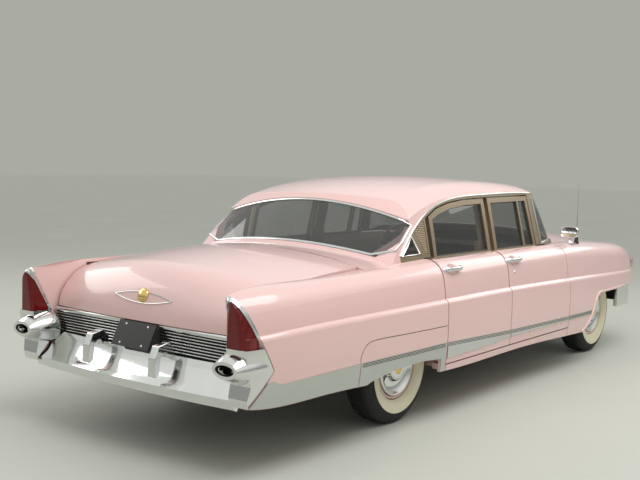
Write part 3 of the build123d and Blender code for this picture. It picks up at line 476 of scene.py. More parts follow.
@dataclass(frozen=True)
class TintedGlass(Finish):
    """Grey safety glass with a clear gloss and faint dust."""

    colour: Colour = (0.030, 0.034, 0.034)
    cover: float = 0.34

    def shade(self, g: Graph) -> bpy.types.Material:
        """Part see-through sheet with faint dust."""
        dust = g.noise(14, 4)
        base = g.mix(dust * 0.25, self.colour, (0.16, 0.16, 0.15))
        return g.surface({"Base Color": base, "Roughness": dust * 0.03 + 0.01, "Alpha": dust * 0.05 + self.cover,
                          "Specular IOR Level": 1.0, "Coat Weight": 1.0, "Coat Roughness": 0.01, "IOR": 1.52})


@dataclass(frozen=True)
class LampLens(Finish):
    """Moulded lens with fine upright flutes, with painted highlight and painted shade along them."""

    colour: Colour = (0.20, 0.003, 0.005)
    flute: float = 0.011
    cover: float = 1.0

    def shade(self, g: Graph) -> bpy.types.Material:
        """Deep colour, with painted highlight where a flute bulges and painted shade between flutes and rows."""
        _, y, z = g.axes()
        flutes = y.wave(self.flute)
        rows = z.wave(self.flute * 4)
        # painted light: the dark stop is a shaded copy of the lens colour, and the flute and row waves lay painted
        # highlight and painted shade over it
        base = g.mix(flutes * 0.6 + rows * 0.2, tuple(c * 0.45 for c in self.colour), self.colour)
        return g.surface({"Base Color": base, "Roughness": g.noise(60) * 0.06 + 0.06, "Alpha": self.cover,
                          "Coat Weight": 0.35, "Coat Roughness": 0.02, "Specular IOR Level": 0.3,
                          "Normal": g.bump(flutes, 0.25, 0.002)})


@dataclass(frozen=True)
class TyreRubber(Finish):
    """Black rubber with a wide cream band on the outer wall."""

    axle_x: float = 0.0
    hub_z: float = 0.358
    middle_y: float = 0.762
    band: Pair = (0.196, 0.286)
    cream: Colour = (0.76, 0.71, 0.54)
    black: Colour = (0.012, 0.012, 0.012)

    def shade(self, g: Graph) -> bpy.types.Material:
        """Colour by distance from the axle."""
        x, y, z = g.axes()
        dx, dz = x - self.axle_x, z - self.hub_z
        radius = (dx * dx + dz * dz) ** 0.5
        ring = radius.between(self.band[0], self.band[0] + 0.001) * (1 - radius.between(self.band[1],
                                                                                     self.band[1] + 0.0015))
        wall = ring * (abs(y) > self.middle_y)
        stain = g.noise(13, 4)
        cream = g.mix(stain * 0.5, self.cream, (0.62, 0.56, 0.40))
        worn = g.mix(g.noise(40, 3), self.black, (0.030, 0.029, 0.027))
        rough = wall * -0.22 + stain * 0.15 + 0.66
        moulded = radius.wave(0.006) * 0.3 + g.noise(500, 2)
        return g.surface({"Base Color": g.mix(wall, worn, cream), "Roughness": rough,
                          "Specular IOR Level": 0.35, "Normal": g.bump(moulded, 0.12, 0.0008)})


class Weave(Enum):
    """Kinds of cabin covering."""

    BROCADE = "brocade"
    VINYL = "vinyl"
    CARPET = "carpet"
    FELT = "felt"


@dataclass(frozen=True)
class Covering(Finish):
    """Seat cloth, vinyl, carpet or felt."""

    colour: Colour = (0.25, 0.18, 0.11)
    second: Colour = (0.34, 0.26, 0.17)
    weave: Weave = Weave.BROCADE

    def shade(self, g: Graph) -> bpy.types.Material:
        """Threads, grain or tufts at their real size."""
        x, y, z = g.axes()
        if self.weave is Weave.BROCADE:
            warp, weft = y.wave(0.0022), (x + z).wave(0.0022)
            thread = warp * 0.5 + weft * 0.5
            figure = (y.wave(0.06) * (x + z).wave(0.06)).between(0.45, 0.55)
            base = g.mix(figure * 0.75 + thread * 0.25, self.colour, self.second)
            height, depth, rough = thread * 0.6 + figure * 0.4, 0.0009, g.noise(80) * 0.2 + 0.7
        elif self.weave is Weave.VINYL:
            grain = g.node("ShaderNodeTexVoronoi", {"feature": "DISTANCE_TO_EDGE"},
                           {"Vector": g.place(), "Scale": 380.0})
            base = g.mix(g.noise(5, 4), self.colour, self.second)
            height, depth, rough = grain, 0.0006, g.noise(30, 4) * 0.18 + 0.34
        else:
            tuft = g.noise(700 if self.weave is Weave.CARPET else 1500, 2)
            base = g.mix(tuft * 0.6 + g.noise(6, 3) * 0.4, self.colour, self.second)
            height, depth, rough = tuft, 0.003 if self.weave is Weave.CARPET else 0.0008, tuft * 0.1 + 0.86
        return g.surface({"Base Color": base, "Roughness": rough, "Sheen Weight": 0.2,
                          "Normal": g.bump(height, 0.5, depth)})


@dataclass(frozen=True)
class Moulding(Finish):
    """Painted or moulded dark piece with a fine grain and worn tone."""

    colour: Colour = (0.02, 0.02, 0.02)
    second: Colour = (0.04, 0.04, 0.04)
    gloss: float = 0.35
    grain: float = 500.0
    metal: float = 0.0

    def shade(self, g: Graph) -> bpy.types.Material:
        """Grain over slow changes of tone."""
        base = g.mix(g.noise(6, 5), self.colour, self.second)
        fine = g.noise(self.grain, 2)
        return g.surface({"Base Color": base, "Roughness": g.noise(18, 4) * 0.2 + self.gloss, "Metallic": self.metal,
                          "Normal": g.bump(fine, 0.2, 0.0008)})


@dataclass(frozen=True)
class StudioFloor(Finish):
    """Pale sealed concrete."""

    colour: Colour = (0.56, 0.57, 0.52)

    def shade(self, g: Graph) -> bpy.types.Material:
        """Cloudy grey with a little gloss."""
        cloud = g.noise(0.7, 6)
        base = g.mix(cloud, self.colour, tuple(c * 0.93 for c in self.colour))
        return g.surface({"Base Color": base, "Roughness": cloud * 0.2 + 0.42, "Specular IOR Level": 0.15})


DRIP = ((0.700, 1.424), (0.40, 1.428), (0.0, 1.421), (-0.33, 1.412), (-0.542, 1.392), (-0.705, 1.358),
        (-0.86, 1.302), (-0.96, 1.250), (-1.05, 1.192), (-1.14, 1.122), (-1.215, 1.052))
PINK = Enamel("pink_enamel")
PINK_DOOR = Enamel("pink_enamel_gold_frame", frame_foot=1.0145)
PINK_ROOF = Enamel("pink_enamel_gold_posts", frame_line=tuple(reversed(DRIP)), frame_side=0.66)
CHROME = BrightMetal("plated_chrome")
STAINLESS = BrightMetal("brushed_stainless", colour=(0.60, 0.62, 0.60), gloss=0.24, haze=0.10, brush=0.25)
SIDE_TRIM = BrightMetal("polished_stainless", colour=(0.70, 0.71, 0.70), gloss=0.13, haze=0.09, brush=0.10)
GOLD = BrightMetal("gold_anodised", colour=(0.43, 0.34, 0.24), gloss=0.30, haze=0.14, share=0.85)
BRASS = BrightMetal("gold_plate", colour=(0.83, 0.60, 0.24), gloss=0.12, haze=0.10)
SIDE_GLASS = TintedGlass("side_glass", cover=0.26)
SCREEN_GLASS = TintedGlass("screen_glass", cover=0.36)
RED_LENS = LampLens("red_lens")
CLEAR_LENS = LampLens("clear_lens", colour=(0.80, 0.82, 0.80), flute=0.016, cover=0.6)
BLACK = Moulding("black_rubber", gloss=0.5)
DARK_STEEL = Moulding("chassis_black", (0.020, 0.020, 0.021), (0.055, 0.048, 0.042), 0.45, 220, 0.3)
ENGINE_PAINT = Moulding("engine_enamel", (0.10, 0.12, 0.13), (0.16, 0.17, 0.17), 0.4, 160)
RAW_STEEL = Moulding("raw_steel", (0.30, 0.29, 0.27), (0.20, 0.16, 0.13), 0.4, 200, 0.9)
PLATE_BLACK = Moulding("plate_black", (0.008, 0.008, 0.009), (0.014, 0.014, 0.015), 0.22, 600)
DASH_BLACK = Moulding("dash_black", (0.010, 0.010, 0.012), (0.022, 0.022, 0.024), 0.30, 420)
IVORY = Moulding("ivory_plastic", (0.62, 0.55, 0.42), (0.56, 0.48, 0.36), 0.22, 500)
BROCADE = Covering("tan_brocade")
VINYL = Covering("tan_vinyl", (0.36, 0.27, 0.185), (0.42, 0.32, 0.225), Weave.VINYL)
CARPET = Covering("brown_carpet", (0.09, 0.06, 0.042), (0.14, 0.10, 0.07), Weave.CARPET)
TRAY = Covering("grey_felt", (0.20, 0.20, 0.19), (0.28, 0.28, 0.27), Weave.FELT)
LINING = Covering("pale_lining", (0.52, 0.44, 0.36), (0.58, 0.50, 0.42), Weave.FELT)
FLOOR = StudioFloor("pale_concrete")
UP = Vector((0, 0, 1))


def lay_piece(name: str, bm: bmesh.types.BMesh, finish: Finish, body: str, slot: Slot,
              sharp: float = 35.0) -> bpy.types.Object:
    """Turn a mesh in the making into a piece that rides on a body.

    Args:
        name: the piece's name.
        bm: the mesh, which is used up.
        finish: what it is made of.
        body: the body it moves with.
        slot: the record's slot of its finish.
        sharp: angle in degrees past which an edge stays sharp.

    Returns:
        The piece.
    """
    bmesh.ops.remove_doubles(bm, verts=bm.verts, dist=1e-6)
    bmesh.ops.recalc_face_normals(bm, faces=bm.faces)
    mesh = bpy.data.meshes.new(name)
    bm.to_mesh(mesh)
    bm.free()
    mesh.polygons.foreach_set("use_smooth", [True] * len(mesh.polygons))
    mesh.set_sharp_from_angle(angle=math.radians(sharp))
    mesh.materials.append(finish.material())
    obj = bpy.data.objects.new(name, mesh)
    bpy.context.scene.collection.objects.link(obj)
    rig.ride(obj, body)
    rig.slot(obj, slot.value)
    return obj


def flowing(points: Sequence[Sequence[float]], parts: int) -> list[Vector]:
    """Smooth run of points through given ones.

    Args:
        points: points of any dimension.
        parts: steps between two of them.

    Returns:
        The finer run.
    """
    knots = [Vector(p) for p in points]
    run: list[Vector] = []
    for i in range(len(knots) - 1):
        a, b = knots[max(i - 1, 0)], knots[i]
        c, d = knots[i + 1], knots[min(i + 2, len(knots) - 1)]
        for step in range(parts):
            t = step / parts
            run.append(0.5 * (2 * b + (c - a) * t + (2 * a - 5 * b + 4 * c - d) * t * t
                              + (3 * b - a - 3 * c + d) * t ** 3))
    return run + [knots[-1]]


def bridge(bm: bmesh.types.BMesh, rings: Sequence[Sequence[bmesh.types.BMVert]], closed: bool = False) -> None:
    """Join rings of equally many points by faces.

    Args:
        bm: mesh to add to.
        rings: closed rings in order; a ring of one repeated point is a tip.
        closed: whether the last ring joins the first.
    """
    for one, two in zip(rings, [*rings[1:], rings[0]] if closed else rings[1:]):
        for i in range(len(one)):
            j = (i + 1) % len(one)
            corners = list(dict.fromkeys((one[i], one[j], two[j], two[i])))
            if len(corners) > 2:
                bm.faces.new(corners)


def sweep(bm: bmesh.types.BMesh, spots: Sequence[Spot], section: Sequence[Pair], closed: bool = False) -> None:
    """Run a section along a path.

    Args:
        bm: mesh to add to.
        spots: points of the path, each with the direction out of the surface.
        section: (across, out) pairs round the section, in metres.
        closed: whether the path comes back to its start.
    """
    count = len(spots)
    rings = []
    for i, (point, out) in enumerate(spots):
        ahead = spots[(i + 1) % count][0] if closed or i + 1 < count else point
        behind = spots[i - 1][0] if closed or i else point
        along = (ahead - behind).normalized()
        across = along.cross(out).normalized()
        up = across.cross(along)
        rings.append([bm.verts.new(point + across * a + up * b) for a, b in section])
    bridge(bm, rings, closed)
    if not closed:
        bm.faces.new(rings[0])
        bm.faces.new(rings[-1])


def half_round(width: float, rise: float, sunk: float = 0.003, steps: int = 6) -> list[Pair]:
    """Section of a bright strip.

    Args:
        width: its width.
        rise: how far it stands out.
        sunk: how far its foot goes in.
        steps: flats round the top.

    Returns:
        The section.
    """
    arc = [(-width / 2 * math.cos(math.pi * i / steps), rise * math.sin(math.pi * i / steps) ** 0.7)
           for i in range(steps + 1)]
    return [(-width / 2, -sunk)] + arc + [(width / 2, -sunk)]


def turned(bm: bmesh.types.BMesh, profile: Sequence[Pair], centre: Vector, axis: Vector, steps: int = 64) -> None:
    """Turn a profile about an axis.

    Args:
        bm: mesh to add to.
        profile: (radius, height along the axis) pairs.
        centre: point on the axis at height 0.
        axis: direction of the axis.
        steps: flats round the axis.
    """
    axis = axis.normalized()
    first = axis.orthogonal().normalized()
    second = axis.cross(first)
    rings = []
    for radius, height in profile:
        if radius < 1e-6:
            rings.append([bm.verts.new(centre + axis * height)] * steps)
            continue
        rings.append([bm.verts.new(centre + axis * height + radius * (first * math.cos(2 * math.pi * i / steps)
                                                                      + second * math.sin(2 * math.pi * i / steps)))
                      for i in range(steps)])
    bridge(bm, rings)


def slab(bm: bmesh.types.BMesh, low: Sequence[float], high: Sequence[float], round_by: float = 0.0) -> None:
    """Box between two corners with rounded edges.

    Args:
        bm: mesh to add to.
        low: lowest corner.
        high: highest corner.
        round_by: radius of its edges.
    """
    middle = (Vector(low) + Vector(high)) / 2
    size = Vector(high) - Vector(low)
    made = bmesh.ops.create_cube(bm, size=1.0, matrix=Matrix.Translation(middle) @ Matrix.Diagonal((*size, 1)))
    if round_by:
        edges = list({edge for vert in made["verts"] for edge in vert.link_edges})
        bmesh.ops.bevel(bm, geom=edges, offset=round_by, segments=4, affect="EDGES", profile=0.5)


class Skin:
    """Surfaces of CAD nodes that trim is laid on."""

    def __init__(self, nodes: dict[str, bpy.types.Object], names: Iterable[str]) -> None:
        """Gather the triangles of the named nodes."""
        verts: list[Vector] = []
        faces: list[list[int]] = []
        for name in names:
            mesh = nodes[name].data
            base = len(verts)
            verts += [v.co.copy() for v in mesh.vertices]
            faces += [[base + i for i in p.vertices] for p in mesh.polygons]
        self.tree = BVHTree.FromPolygons(verts, faces)

    def cast(self, start: Sequence[float], way: Sequence[float]) -> Spot:
        """First point that a straight line meets.

        Args:
            start: where the line starts.
            way: its direction.

        Returns:
            The point and the direction out of the surface there.
        """
        point, normal, _, _ = self.tree.ray_cast(Vector(start), Vector(way))
        if point is None:
            raise ValueError(f"no surface on the line from {tuple(start)}")
        return point, (normal if normal.dot(Vector(way)) < 0 else -normal)

    def side(self, x: float, z: float, side: Side) -> Spot:
        """Point of the car's side at that place along and up."""
        return self.cast((x, 1.8 * side.value, z), (0, -side.value, 0))

    def top(self, x: float, y: float) -> Spot:
        """Highest point at that place along and across."""
        return self.cast((x, y, 3), (0, 0, -1))

    def rear(self, y: float, z: float) -> Spot:
        """Point seen from behind at that place across and up."""
        return self.cast((-4, y, z), (1, 0, 0))

    def front(self, y: float, z: float) -> Spot:
        """Point seen from ahead at that place across and up."""
        return self.cast((4, y, z), (-1, 0, 0))


class Repeat:
    """Geometry Nodes tree that sets a small mesh at points, turned to face out of them."""

    def __init__(self, name: str) -> None:
        """Build the tree with its named inputs."""
        tree = bpy.data.node_groups.new(name, "GeometryNodeTree")
        face = tree.interface
        for label, kind, way in (("Points", "NodeSocketGeometry", "INPUT"), ("Shape", "NodeSocketObject", "INPUT"),
                                 ("Size", "NodeSocketFloat", "INPUT"), ("Finish", "NodeSocketMaterial", "INPUT"),
                                 ("Mesh", "NodeSocketGeometry", "OUTPUT")):
            face.new_socket(label, in_out=way, socket_type=kind)
        kinds = {"start": "NodeGroupInput", "end": "NodeGroupOutput", "shape": "GeometryNodeObjectInfo",
                 "turn": "FunctionNodeAlignEulerToVector", "out": "GeometryNodeInputNamedAttribute",
                 "lay": "GeometryNodeInstanceOnPoints", "real": "GeometryNodeRealizeInstances",
                 "coat": "GeometryNodeSetMaterial"}
        n = {key: tree.nodes.new(kind) for key, kind in kinds.items()}
        n["out"].data_type = "FLOAT_VECTOR"
        n["out"].inputs["Name"].default_value = "out"
        n["turn"].axis = "Z"
        for source, target in ((n["start"].outputs["Points"], n["lay"].inputs["Points"]),
                               (n["start"].outputs["Shape"], n["shape"].inputs["Object"]),
                               (n["shape"].outputs["Geometry"], n["lay"].inputs["Instance"]),
                               (n["out"].outputs["Attribute"], n["turn"].inputs["Vector"]),
                               (n["turn"].outputs["Rotation"], n["lay"].inputs["Rotation"]),
                               (n["start"].outputs["Size"], n["lay"].inputs["Scale"]),
                               (n["lay"].outputs["Instances"], n["real"].inputs["Geometry"]),
                               (n["real"].outputs["Geometry"], n["coat"].inputs["Geometry"]),
                               (n["start"].outputs["Finish"], n["coat"].inputs["Material"]),
                               (n["coat"].outputs["Geometry"], n["end"].inputs["Mesh"])):
            tree.links.new(source, target)
        self.tree = tree

    def lay(self, name: str, shape: bmesh.types.BMesh, places: Sequence[Spot], size: float, finish: Finish, body: str,
            slot: Slot) -> bpy.types.Object:
        """Set the shape at each place.

        Args:
            name: the piece's name.
            shape: small mesh about the origin that points along +Z, used up.
            places: points, each with the direction that the shape points in.
            size: scale of the shape.
            finish: what it is made of.
            body: the body it moves with.
            slot: the record's slot of its finish.

        Returns:
            The piece as a plain mesh.
        """
        bmesh.ops.recalc_face_normals(shape, faces=shape.faces)
        unit = bpy.data.meshes.new(name + "_unit")
        shape.to_mesh(unit)
        shape.free()
        unit.polygons.foreach_set("use_smooth", [True] * len(unit.polygons))
        unit.set_sharp_from_angle(angle=math.radians(35))
        stamp = bpy.data.objects.new(name + "_unit", unit)
        bpy.context.scene.collection.objects.link(stamp)
        dots = bpy.data.meshes.new(name)
        dots.from_pydata([tuple(p) for p, _ in places], [], [])
        dots.attributes.new("out", "FLOAT_VECTOR", "POINT").data.foreach_set(
            "vector", [c for _, way in places for c in way])
        obj = bpy.data.objects.new(name, dots)
        bpy.context.scene.collection.objects.link(obj)
        modifier = obj.modifiers.new("repeat", "NODES")
        modifier.node_group = self.tree
        keys = {item.name: item.identifier for item in self.tree.interface.items_tree if item.in_out == "INPUT"}
        modifier[keys["Shape"]] = stamp
        modifier[keys["Size"]] = size
        modifier[keys["Finish"]] = finish.material()
        ready = obj.evaluated_get(bpy.context.evaluated_depsgraph_get())
        mesh = bpy.data.meshes.new_from_object(ready)
        obj.modifiers.clear()
        obj.data = mesh
        bpy.data.objects.remove(stamp)
        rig.ride(obj, body)
        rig.slot(obj, slot.value)
        return obj


@dataclass
class Assembly:
    """What every sub-assembly works with."""

    nodes: dict[str, bpy.types.Object]
    repeat: Repeat

    def coat(self, finish: Finish, *names: str) -> None:
        """Give a finish to CAD nodes.

        Args:
            finish: the finish.
            names: the nodes.
        """
        for name in names:
            slots = self.nodes[name].data.materials
            for place in range(len(slots)):
                slots[place] = finish.material()

    def laid(self, name: str, spots: Sequence[Spot], section: Sequence[Pair], finish: Finish, slot: Slot,
             closed: bool = False, body: str = "body") -> bpy.types.Object:
        """Make a strip of one section along points of a surface.

        Args:
            name: the piece's name.
            spots: points, each with the direction out of the surface.
            section: (across, out) pairs round the section.
            finish: what it is made of.
            slot: the record's slot of its finish.
            closed: whether it comes back to its start.
            body: the body it moves with.

        Returns:
            The strip.
        """
        bm = bmesh.new()
        sweep(bm, spots, section, closed)
        return lay_piece(name, bm, finish, body, slot)

    def spun(self, name: str, profile: Profile, spot: Spot, steps: int, finish: Finish, slot: Slot,
             body: str = "body") -> bpy.types.Object:
        """Make a piece turned about an axis.

        Args:
            name: the piece's name.
            profile: (radius, height along the axis) pairs.
            spot: point on the axis at height 0, and the axis.
            steps: flats round the axis.
            finish: what it is made of.
            slot: the record's slot of its finish.
            body: the body it moves with.

        Returns:
            The piece.
        """
        bm = bmesh.new()
        turned(bm, profile, *spot, steps)
        return lay_piece(name, bm, finish, body, slot)

    def build(self) -> list[bpy.types.Object]:
        """Make and dress the pieces; each sub-assembly has its own."""
        raise NotImplementedError


@dataclass
class Bodywork(Assembly):
    """Painted panels and the trim of the lower side."""

    lock_place: Pair = (0.075, 0.868)
    lock_form: Profile = ((0, 0.007), (0.0065, 0.0065), (0.01105, 0.004), (0.013, 0.0015), (0.013, -0.003),
                          (0, -0.003))
    seam: Profile = ((-0.938, 0.6065), (-1.10, 0.608), (-1.40, 0.6115), (-1.70, 0.6145), (-1.801, 0.5985),
                     (-1.852, 0.541), (-1.855, 0.500))
    seam_width: float = 0.0042
    arch: Profile = ((1.310, 0.280), (1.388, 0.303), (1.470, 0.361), (1.542, 0.440), (1.584, 0.519),
                     (1.644, 0.567), (1.720, 0.577), (1.95, 0.574), (2.10, 0.573), (2.30, 0.575))
    lip_width: float = 0.020
    lip_rise: float = 0.010
    flutes: tuple[tuple[str, Profile], ...] = (
        ("side_mouldings", ((1.485, 0.4412), (1.25, 0.4445), (1.014, 0.4479))),
        ("trim_front", ((0.994, 0.4481), (0.49, 0.4570), (-0.014, 0.4659))),
        ("trim_rear", ((-0.036, 0.4662), (-0.45, 0.4820), (-0.920, 0.4988))),
        ("side_mouldings", ((-0.960, 0.4990), (-1.40, 0.4975), (-1.840, 0.4959))))
    flute_drops: tuple[float, ...] = (0.0060, 0.0150, 0.0240)
    flute_width: float = 0.0044
    handle_x: tuple[tuple[Axle, float], ...] = ((Axle.FRONT, 0.095), (Axle.REAR, -0.785))
    handle_z: float = 0.958
    handle_half: float = 0.096
    handle_out: float = 0.9765
    handle_bow: Profile = ((-0.97, -0.020), (-0.86, -0.007), (-0.6, -0.001), (0.0, 0.001), (0.6, -0.001),
                           (0.86, -0.007), (0.97, -0.020))
    handle_grip: Pair = (0.0145, 0.0105)
    button_drop: float = 0.004
    button_form: Profile = ((0, 0.020), (0.011, 0.019), (0.014, 0.016), (0.0145, 0.012), (0.022, 0.010),
                            (0.026, 0.006), (0.027, -0.006), (0, -0.006))

    def build(self) -> list[bpy.types.Object]:
        """Paint the panels and set the locks, skirt joints, arch lips, trim grooves and handles."""
        self.coat(PINK, "cowl", "rear_deck", "sills", "front_fenders", "quarter_panels", "fender_skirts", "hood",
                  "trunk_lid")
        self.coat(PINK_ROOF, "roof")
        self.coat(STAINLESS, "side_mouldings")
        for axle in Axle:
            for side in Side:
                self.coat(PINK_DOOR, f"door_{axle.value}_{side.word}")
                self.coat(SIDE_TRIM, f"trim_{axle.value}_{side.word}")
        made = [self.door_lock(side) for side in Side]
        made += [self.skirt_seam(side) for side in Side]
        made += [self.arch_lip(side) for side in Side]
        made += [self.trim_flutes(number, side) for number in range(len(self.flutes)) for side in Side]
        return made + [self.pull_handle(axle, x, side) for axle, x in self.handle_x for side in Side]

    def trim_flutes(self, number: int, side: Side) -> bpy.types.Object:
        """Dark grooves along the upper edge of one length of the lower trim.

        Args:
            number: place of the length in the table.
            side: the side of the car.

        Returns:
            The grooves.
        """
        node, run = self.flutes[number]
        on_door = node.startswith("trim")
        skin = Skin(self.nodes, [f"{node}_{side.word}" if on_door else node])
        bm = bmesh.new()
        for drop in self.flute_drops:
            hits = [skin.side(x, z - drop, side) for x, z in flowing(run, 8)]
            sweep(bm, hits, half_round(self.flute_width, 0.0006, 0.002))
        body = f"{node.replace('trim', 'door')}_{side.word}" if on_door else "body"
        return lay_piece(f"trim_flutes_{number}_{side.word}", bm, BLACK, body, Slot.CABIN_PLASTIC)

    def pull_handle(self, axle: Axle, x: float, side: Side) -> bpy.types.Object:
        """Bowed bright grip with a push button at its rear end.

        Args:
            axle: the doorway.
            x: middle of the grip along the car.
            side: the side of the car.

        Returns:
            The grip.
        """
        door = f"door_{axle.value}_{side.word}"
        skin = Skin(self.nodes, [door])
        half = self.handle_half
        ends = [skin.side(x + end, self.handle_z, side)[0] for end in (-half, half)]
        bow = [Vector((x + share * half, (self.handle_out + rise) * side.value, self.handle_z))
               for share, rise in self.handle_bow]
        tall, deep = self.handle_grip
        oval = [(tall * math.cos(math.pi * i / 8), deep * math.sin(math.pi * i / 8)) for i in range(16)]
        bm = bmesh.new()
        sweep(bm, [(p, Vector((0, side.value, 0))) for p in flowing([ends[0], *bow, ends[1]], 5)], oval)
        turned(bm, self.button_form, *skin.side(x - half, self.handle_z - self.button_drop, side), 32)
        return lay_piece(f"pull_handle_{axle.value}_{side.word}", bm, CHROME, door, Slot.CHROME)

    def skirt_seam(self, side: Side) -> bpy.types.Object:
        """Dark joint round the upper edge of a rear skirt."""
        skin = Skin(self.nodes, ["quarter_panels", "fender_skirts"])
        hits = [skin.side(x, z, side) for x, z in flowing(self.seam, 5)]
        return self.laid(f"skirt_seam_{side.word}", hits, half_round(self.seam_width, 0.0008, 0.002), BLACK,
                         Slot.CABIN_PLASTIC)

    def arch_lip(self, side: Side) -> bpy.types.Object:
        """Rolled lip round a front arch."""
        skin = Skin(self.nodes, ["front_fenders"])
        hits = [skin.side(x, z, side) for x, z in flowing(self.arch, 6)]
        return self.laid(f"arch_lip_{side.word}", hits, half_round(self.lip_width, self.lip_rise, 0.004, 8), PINK,
                         Slot.PAINT)

    def door_lock(self, side: Side) -> bpy.types.Object:
        """Round lock cover under the front handle."""
        door = f"door_front_{side.word}"
        spot = Skin(self.nodes, [door]).side(*self.lock_place, side)
        return self.spun(f"lock_{side.word}", self.lock_form, spot, 24, CHROME, Slot.CHROME, door)


@dataclass
class Greenhouse(Assembly):
    """Glass, drip rails, screen surrounds and ribbed pillar panels."""

    rail_width: float = 0.015
    rail_rise: float = 0.011
    surround_width: float = 0.020
    surround_rise: float = 0.009
    seal_width: float = 0.012
    seal_rise: float = 0.005
    rib_pitch: float = 0.0115
    rib_rise: float = 0.005
    rib_share: float = 0.72
    light_corners: Profile = ((-1.198, 1.052), (-1.122, 1.114), (-1.046, 1.172), (-1.008, 1.115), (-0.968, 1.052),
                              (-1.04, 1.050), (-1.12, 1.050))
    light_frame: Pair = (0.011, 0.012)
    rear_flank: Profile = ((-1.244, 1.088), (-1.174, 1.139), (-1.104, 1.190), (-1.042, 1.236))
    front_flank: Profile = ((0.92, 1.049), (0.786, 1.032), (0.772, 1.15), (0.760, 1.26), (0.746, 1.384),
                            (0.794, 1.423))
    front_head: float = 1.427

    def build(self) -> list[bpy.types.Object]:
        """Glaze the openings and frame them."""
        self.coat(SCREEN_GLASS, "windshield", "backlight")
        self.coat(SIDE_GLASS, "quarter_glass", *[f"glass_{a.value}_{s.word}" for a in Axle for s in Side])
        self.coat(GOLD, "pillar_louvres")
        self.shell = Skin(self.nodes, ["roof", "backlight", "windshield", "pillar_louvres", "quarter_glass"])
        made = [self.drip_rail(side) for side in Side]
        made += [self.louvre_ribs(side) for side in Side]
        made += [self.quarter_frame(side) for side in Side]
        made += [self.backlight_surround(), self.windshield_surround()]
        return made + [self.seal(axle, side) for axle in Axle for side in Side]

    def seal(self, axle: Axle, side: Side) -> bpy.types.Object:
        """Rubber round the panes of a door."""
        tag = f"{axle.value}_{side.word}"
        bm = bmesh.new()
        for loop in self.rims(self.nodes[f"glass_{tag}"], side):
            sweep(bm, loop, half_round(self.seal_width, self.seal_rise), True)
        return lay_piece(f"glass_seal_{tag}", bm, BLACK, f"door_{tag}", Slot.CABIN_PLASTIC)

    @staticmethod
    def rims(pane: bpy.types.Object, side: Side) -> list[list[Spot]]:
        """Edges of the outer faces of a pane.

        Args:
            pane: a node of one or more sheets of glass.
            side: the side of the car it looks out of.

        Returns:
            Closed runs of points with the directions out of the glass.
        """
        bm = bmesh.new()
        bm.from_mesh(pane.data)
        bmesh.ops.remove_doubles(bm, verts=bm.verts, dist=2e-5)
        bm.normal_update()
        links: dict[bmesh.types.BMVert, list[bmesh.types.BMVert]] = {}
        outs: dict[bmesh.types.BMVert, Vector] = {}
        for edge in bm.edges:
            slopes = sorted(face.normal.y * side.value for face in edge.link_faces)
            if len(slopes) == 2 and slopes[1] > 0.6 and slopes[0] < 0.45:
                out = max((face.normal for face in edge.link_faces), key=lambda n: n.y * side.value)
                for vert, other in (edge.verts, reversed(edge.verts)):
                    links.setdefault(vert, []).append(other)
                    outs[vert] = outs.get(vert, Vector()) + out
        loops = []
        while links:
            start = here = next(iter(links))
            run = []
            while here in links:
                run.append((here.co.copy(), outs[here].normalized()))
                ways = links.pop(here)
                here = next((way for way in ways if way in links), start)
            if len(run) > 3:
                loops.append(run)
        bm.free()
        return loops

    def drip_rail(self, side: Side) -> bpy.types.Object:
        """Rail over the doors and down the rear pillar."""
        hits = [self.shell.side(x, z, side) for x, z in flowing(DRIP, 6)]
        return self.laid(f"drip_rail_{side.word}", hits, half_round(self.rail_width, self.rail_rise), CHROME,
                         Slot.CHROME)

    def backlight_surround(self) -> bpy.types.Object:
        """Bright frame round the rear screen."""
        pane = Skin(self.nodes, ["backlight"])
        cover = Skin(self.nodes, ["backlight", "roof", "rear_deck"])

        def shown(y: float, z: float) -> Spot:
            """Point of the pane that nothing hides from behind."""
            point, out = cover.rear(y, z)
            if (pane.rear(y, z)[0] - point).length > 0.002:
                raise ValueError("hidden")
            return point, out

        low = [self.foot(shown, 0.66 * i / 16) for i in range(17)]
        flank = [self.shell.side(x, z, Side.LEFT) for x, z in self.rear_flank]
        high = [self.foot(pane.rear, 0.74 * i / 14, 1.42) for i in range(14, -1, -1)]
        return self.laid("backlight_surround", self.both(low + flank + high),
                         half_round(self.surround_width, self.surround_rise), CHROME, Slot.CHROME, True)

    def windshield_surround(self) -> bpy.types.Object:
        """Bright frame round the windshield."""
        pane = Skin(self.nodes, ["windshield"])
        low = [self.foot(pane.front, 0.78 * i / 16) for i in range(17)]
        flank = [self.shell.side(x, z, Side.LEFT) for x, z in self.front_flank]
        high = [self.shell.front(0.62 * i / 12, self.front_head) for i in range(12, -1, -1)]
        return self.laid("windshield_surround", self.both(low + flank + high),
                         half_round(self.surround_width, self.surround_rise), CHROME, Slot.CHROME, True)

    @staticmethod
    def both(left: Sequence[Spot]) -> list[Spot]:
        """Run up the left side joined to its mirror image."""
        right = [(Vector((p.x, -p.y, p.z)), Vector((o.x, -o.y, o.z))) for p, o in reversed(left[1:-1])]
        return [*left, *right]

    @staticmethod
    def foot(look: Callable[[float, float], Spot], y: float, edge: float = 1.0) -> Spot:
        """Point just inside the edge of a pane.

        Args:
            look: finds the pane from behind or from ahead.
            y: place across.
            edge: height past the edge that is looked for, under or over the pane.

        Returns:
            The point and the direction out of the pane.
        """
        off, on = edge, 1.2
        for _ in range(16):
            z = (off + on) / 2
            try:
                look(y, z)
                on = z
            except ValueError:
                off = z
        return look(y, on + math.copysign(0.004, on - edge))

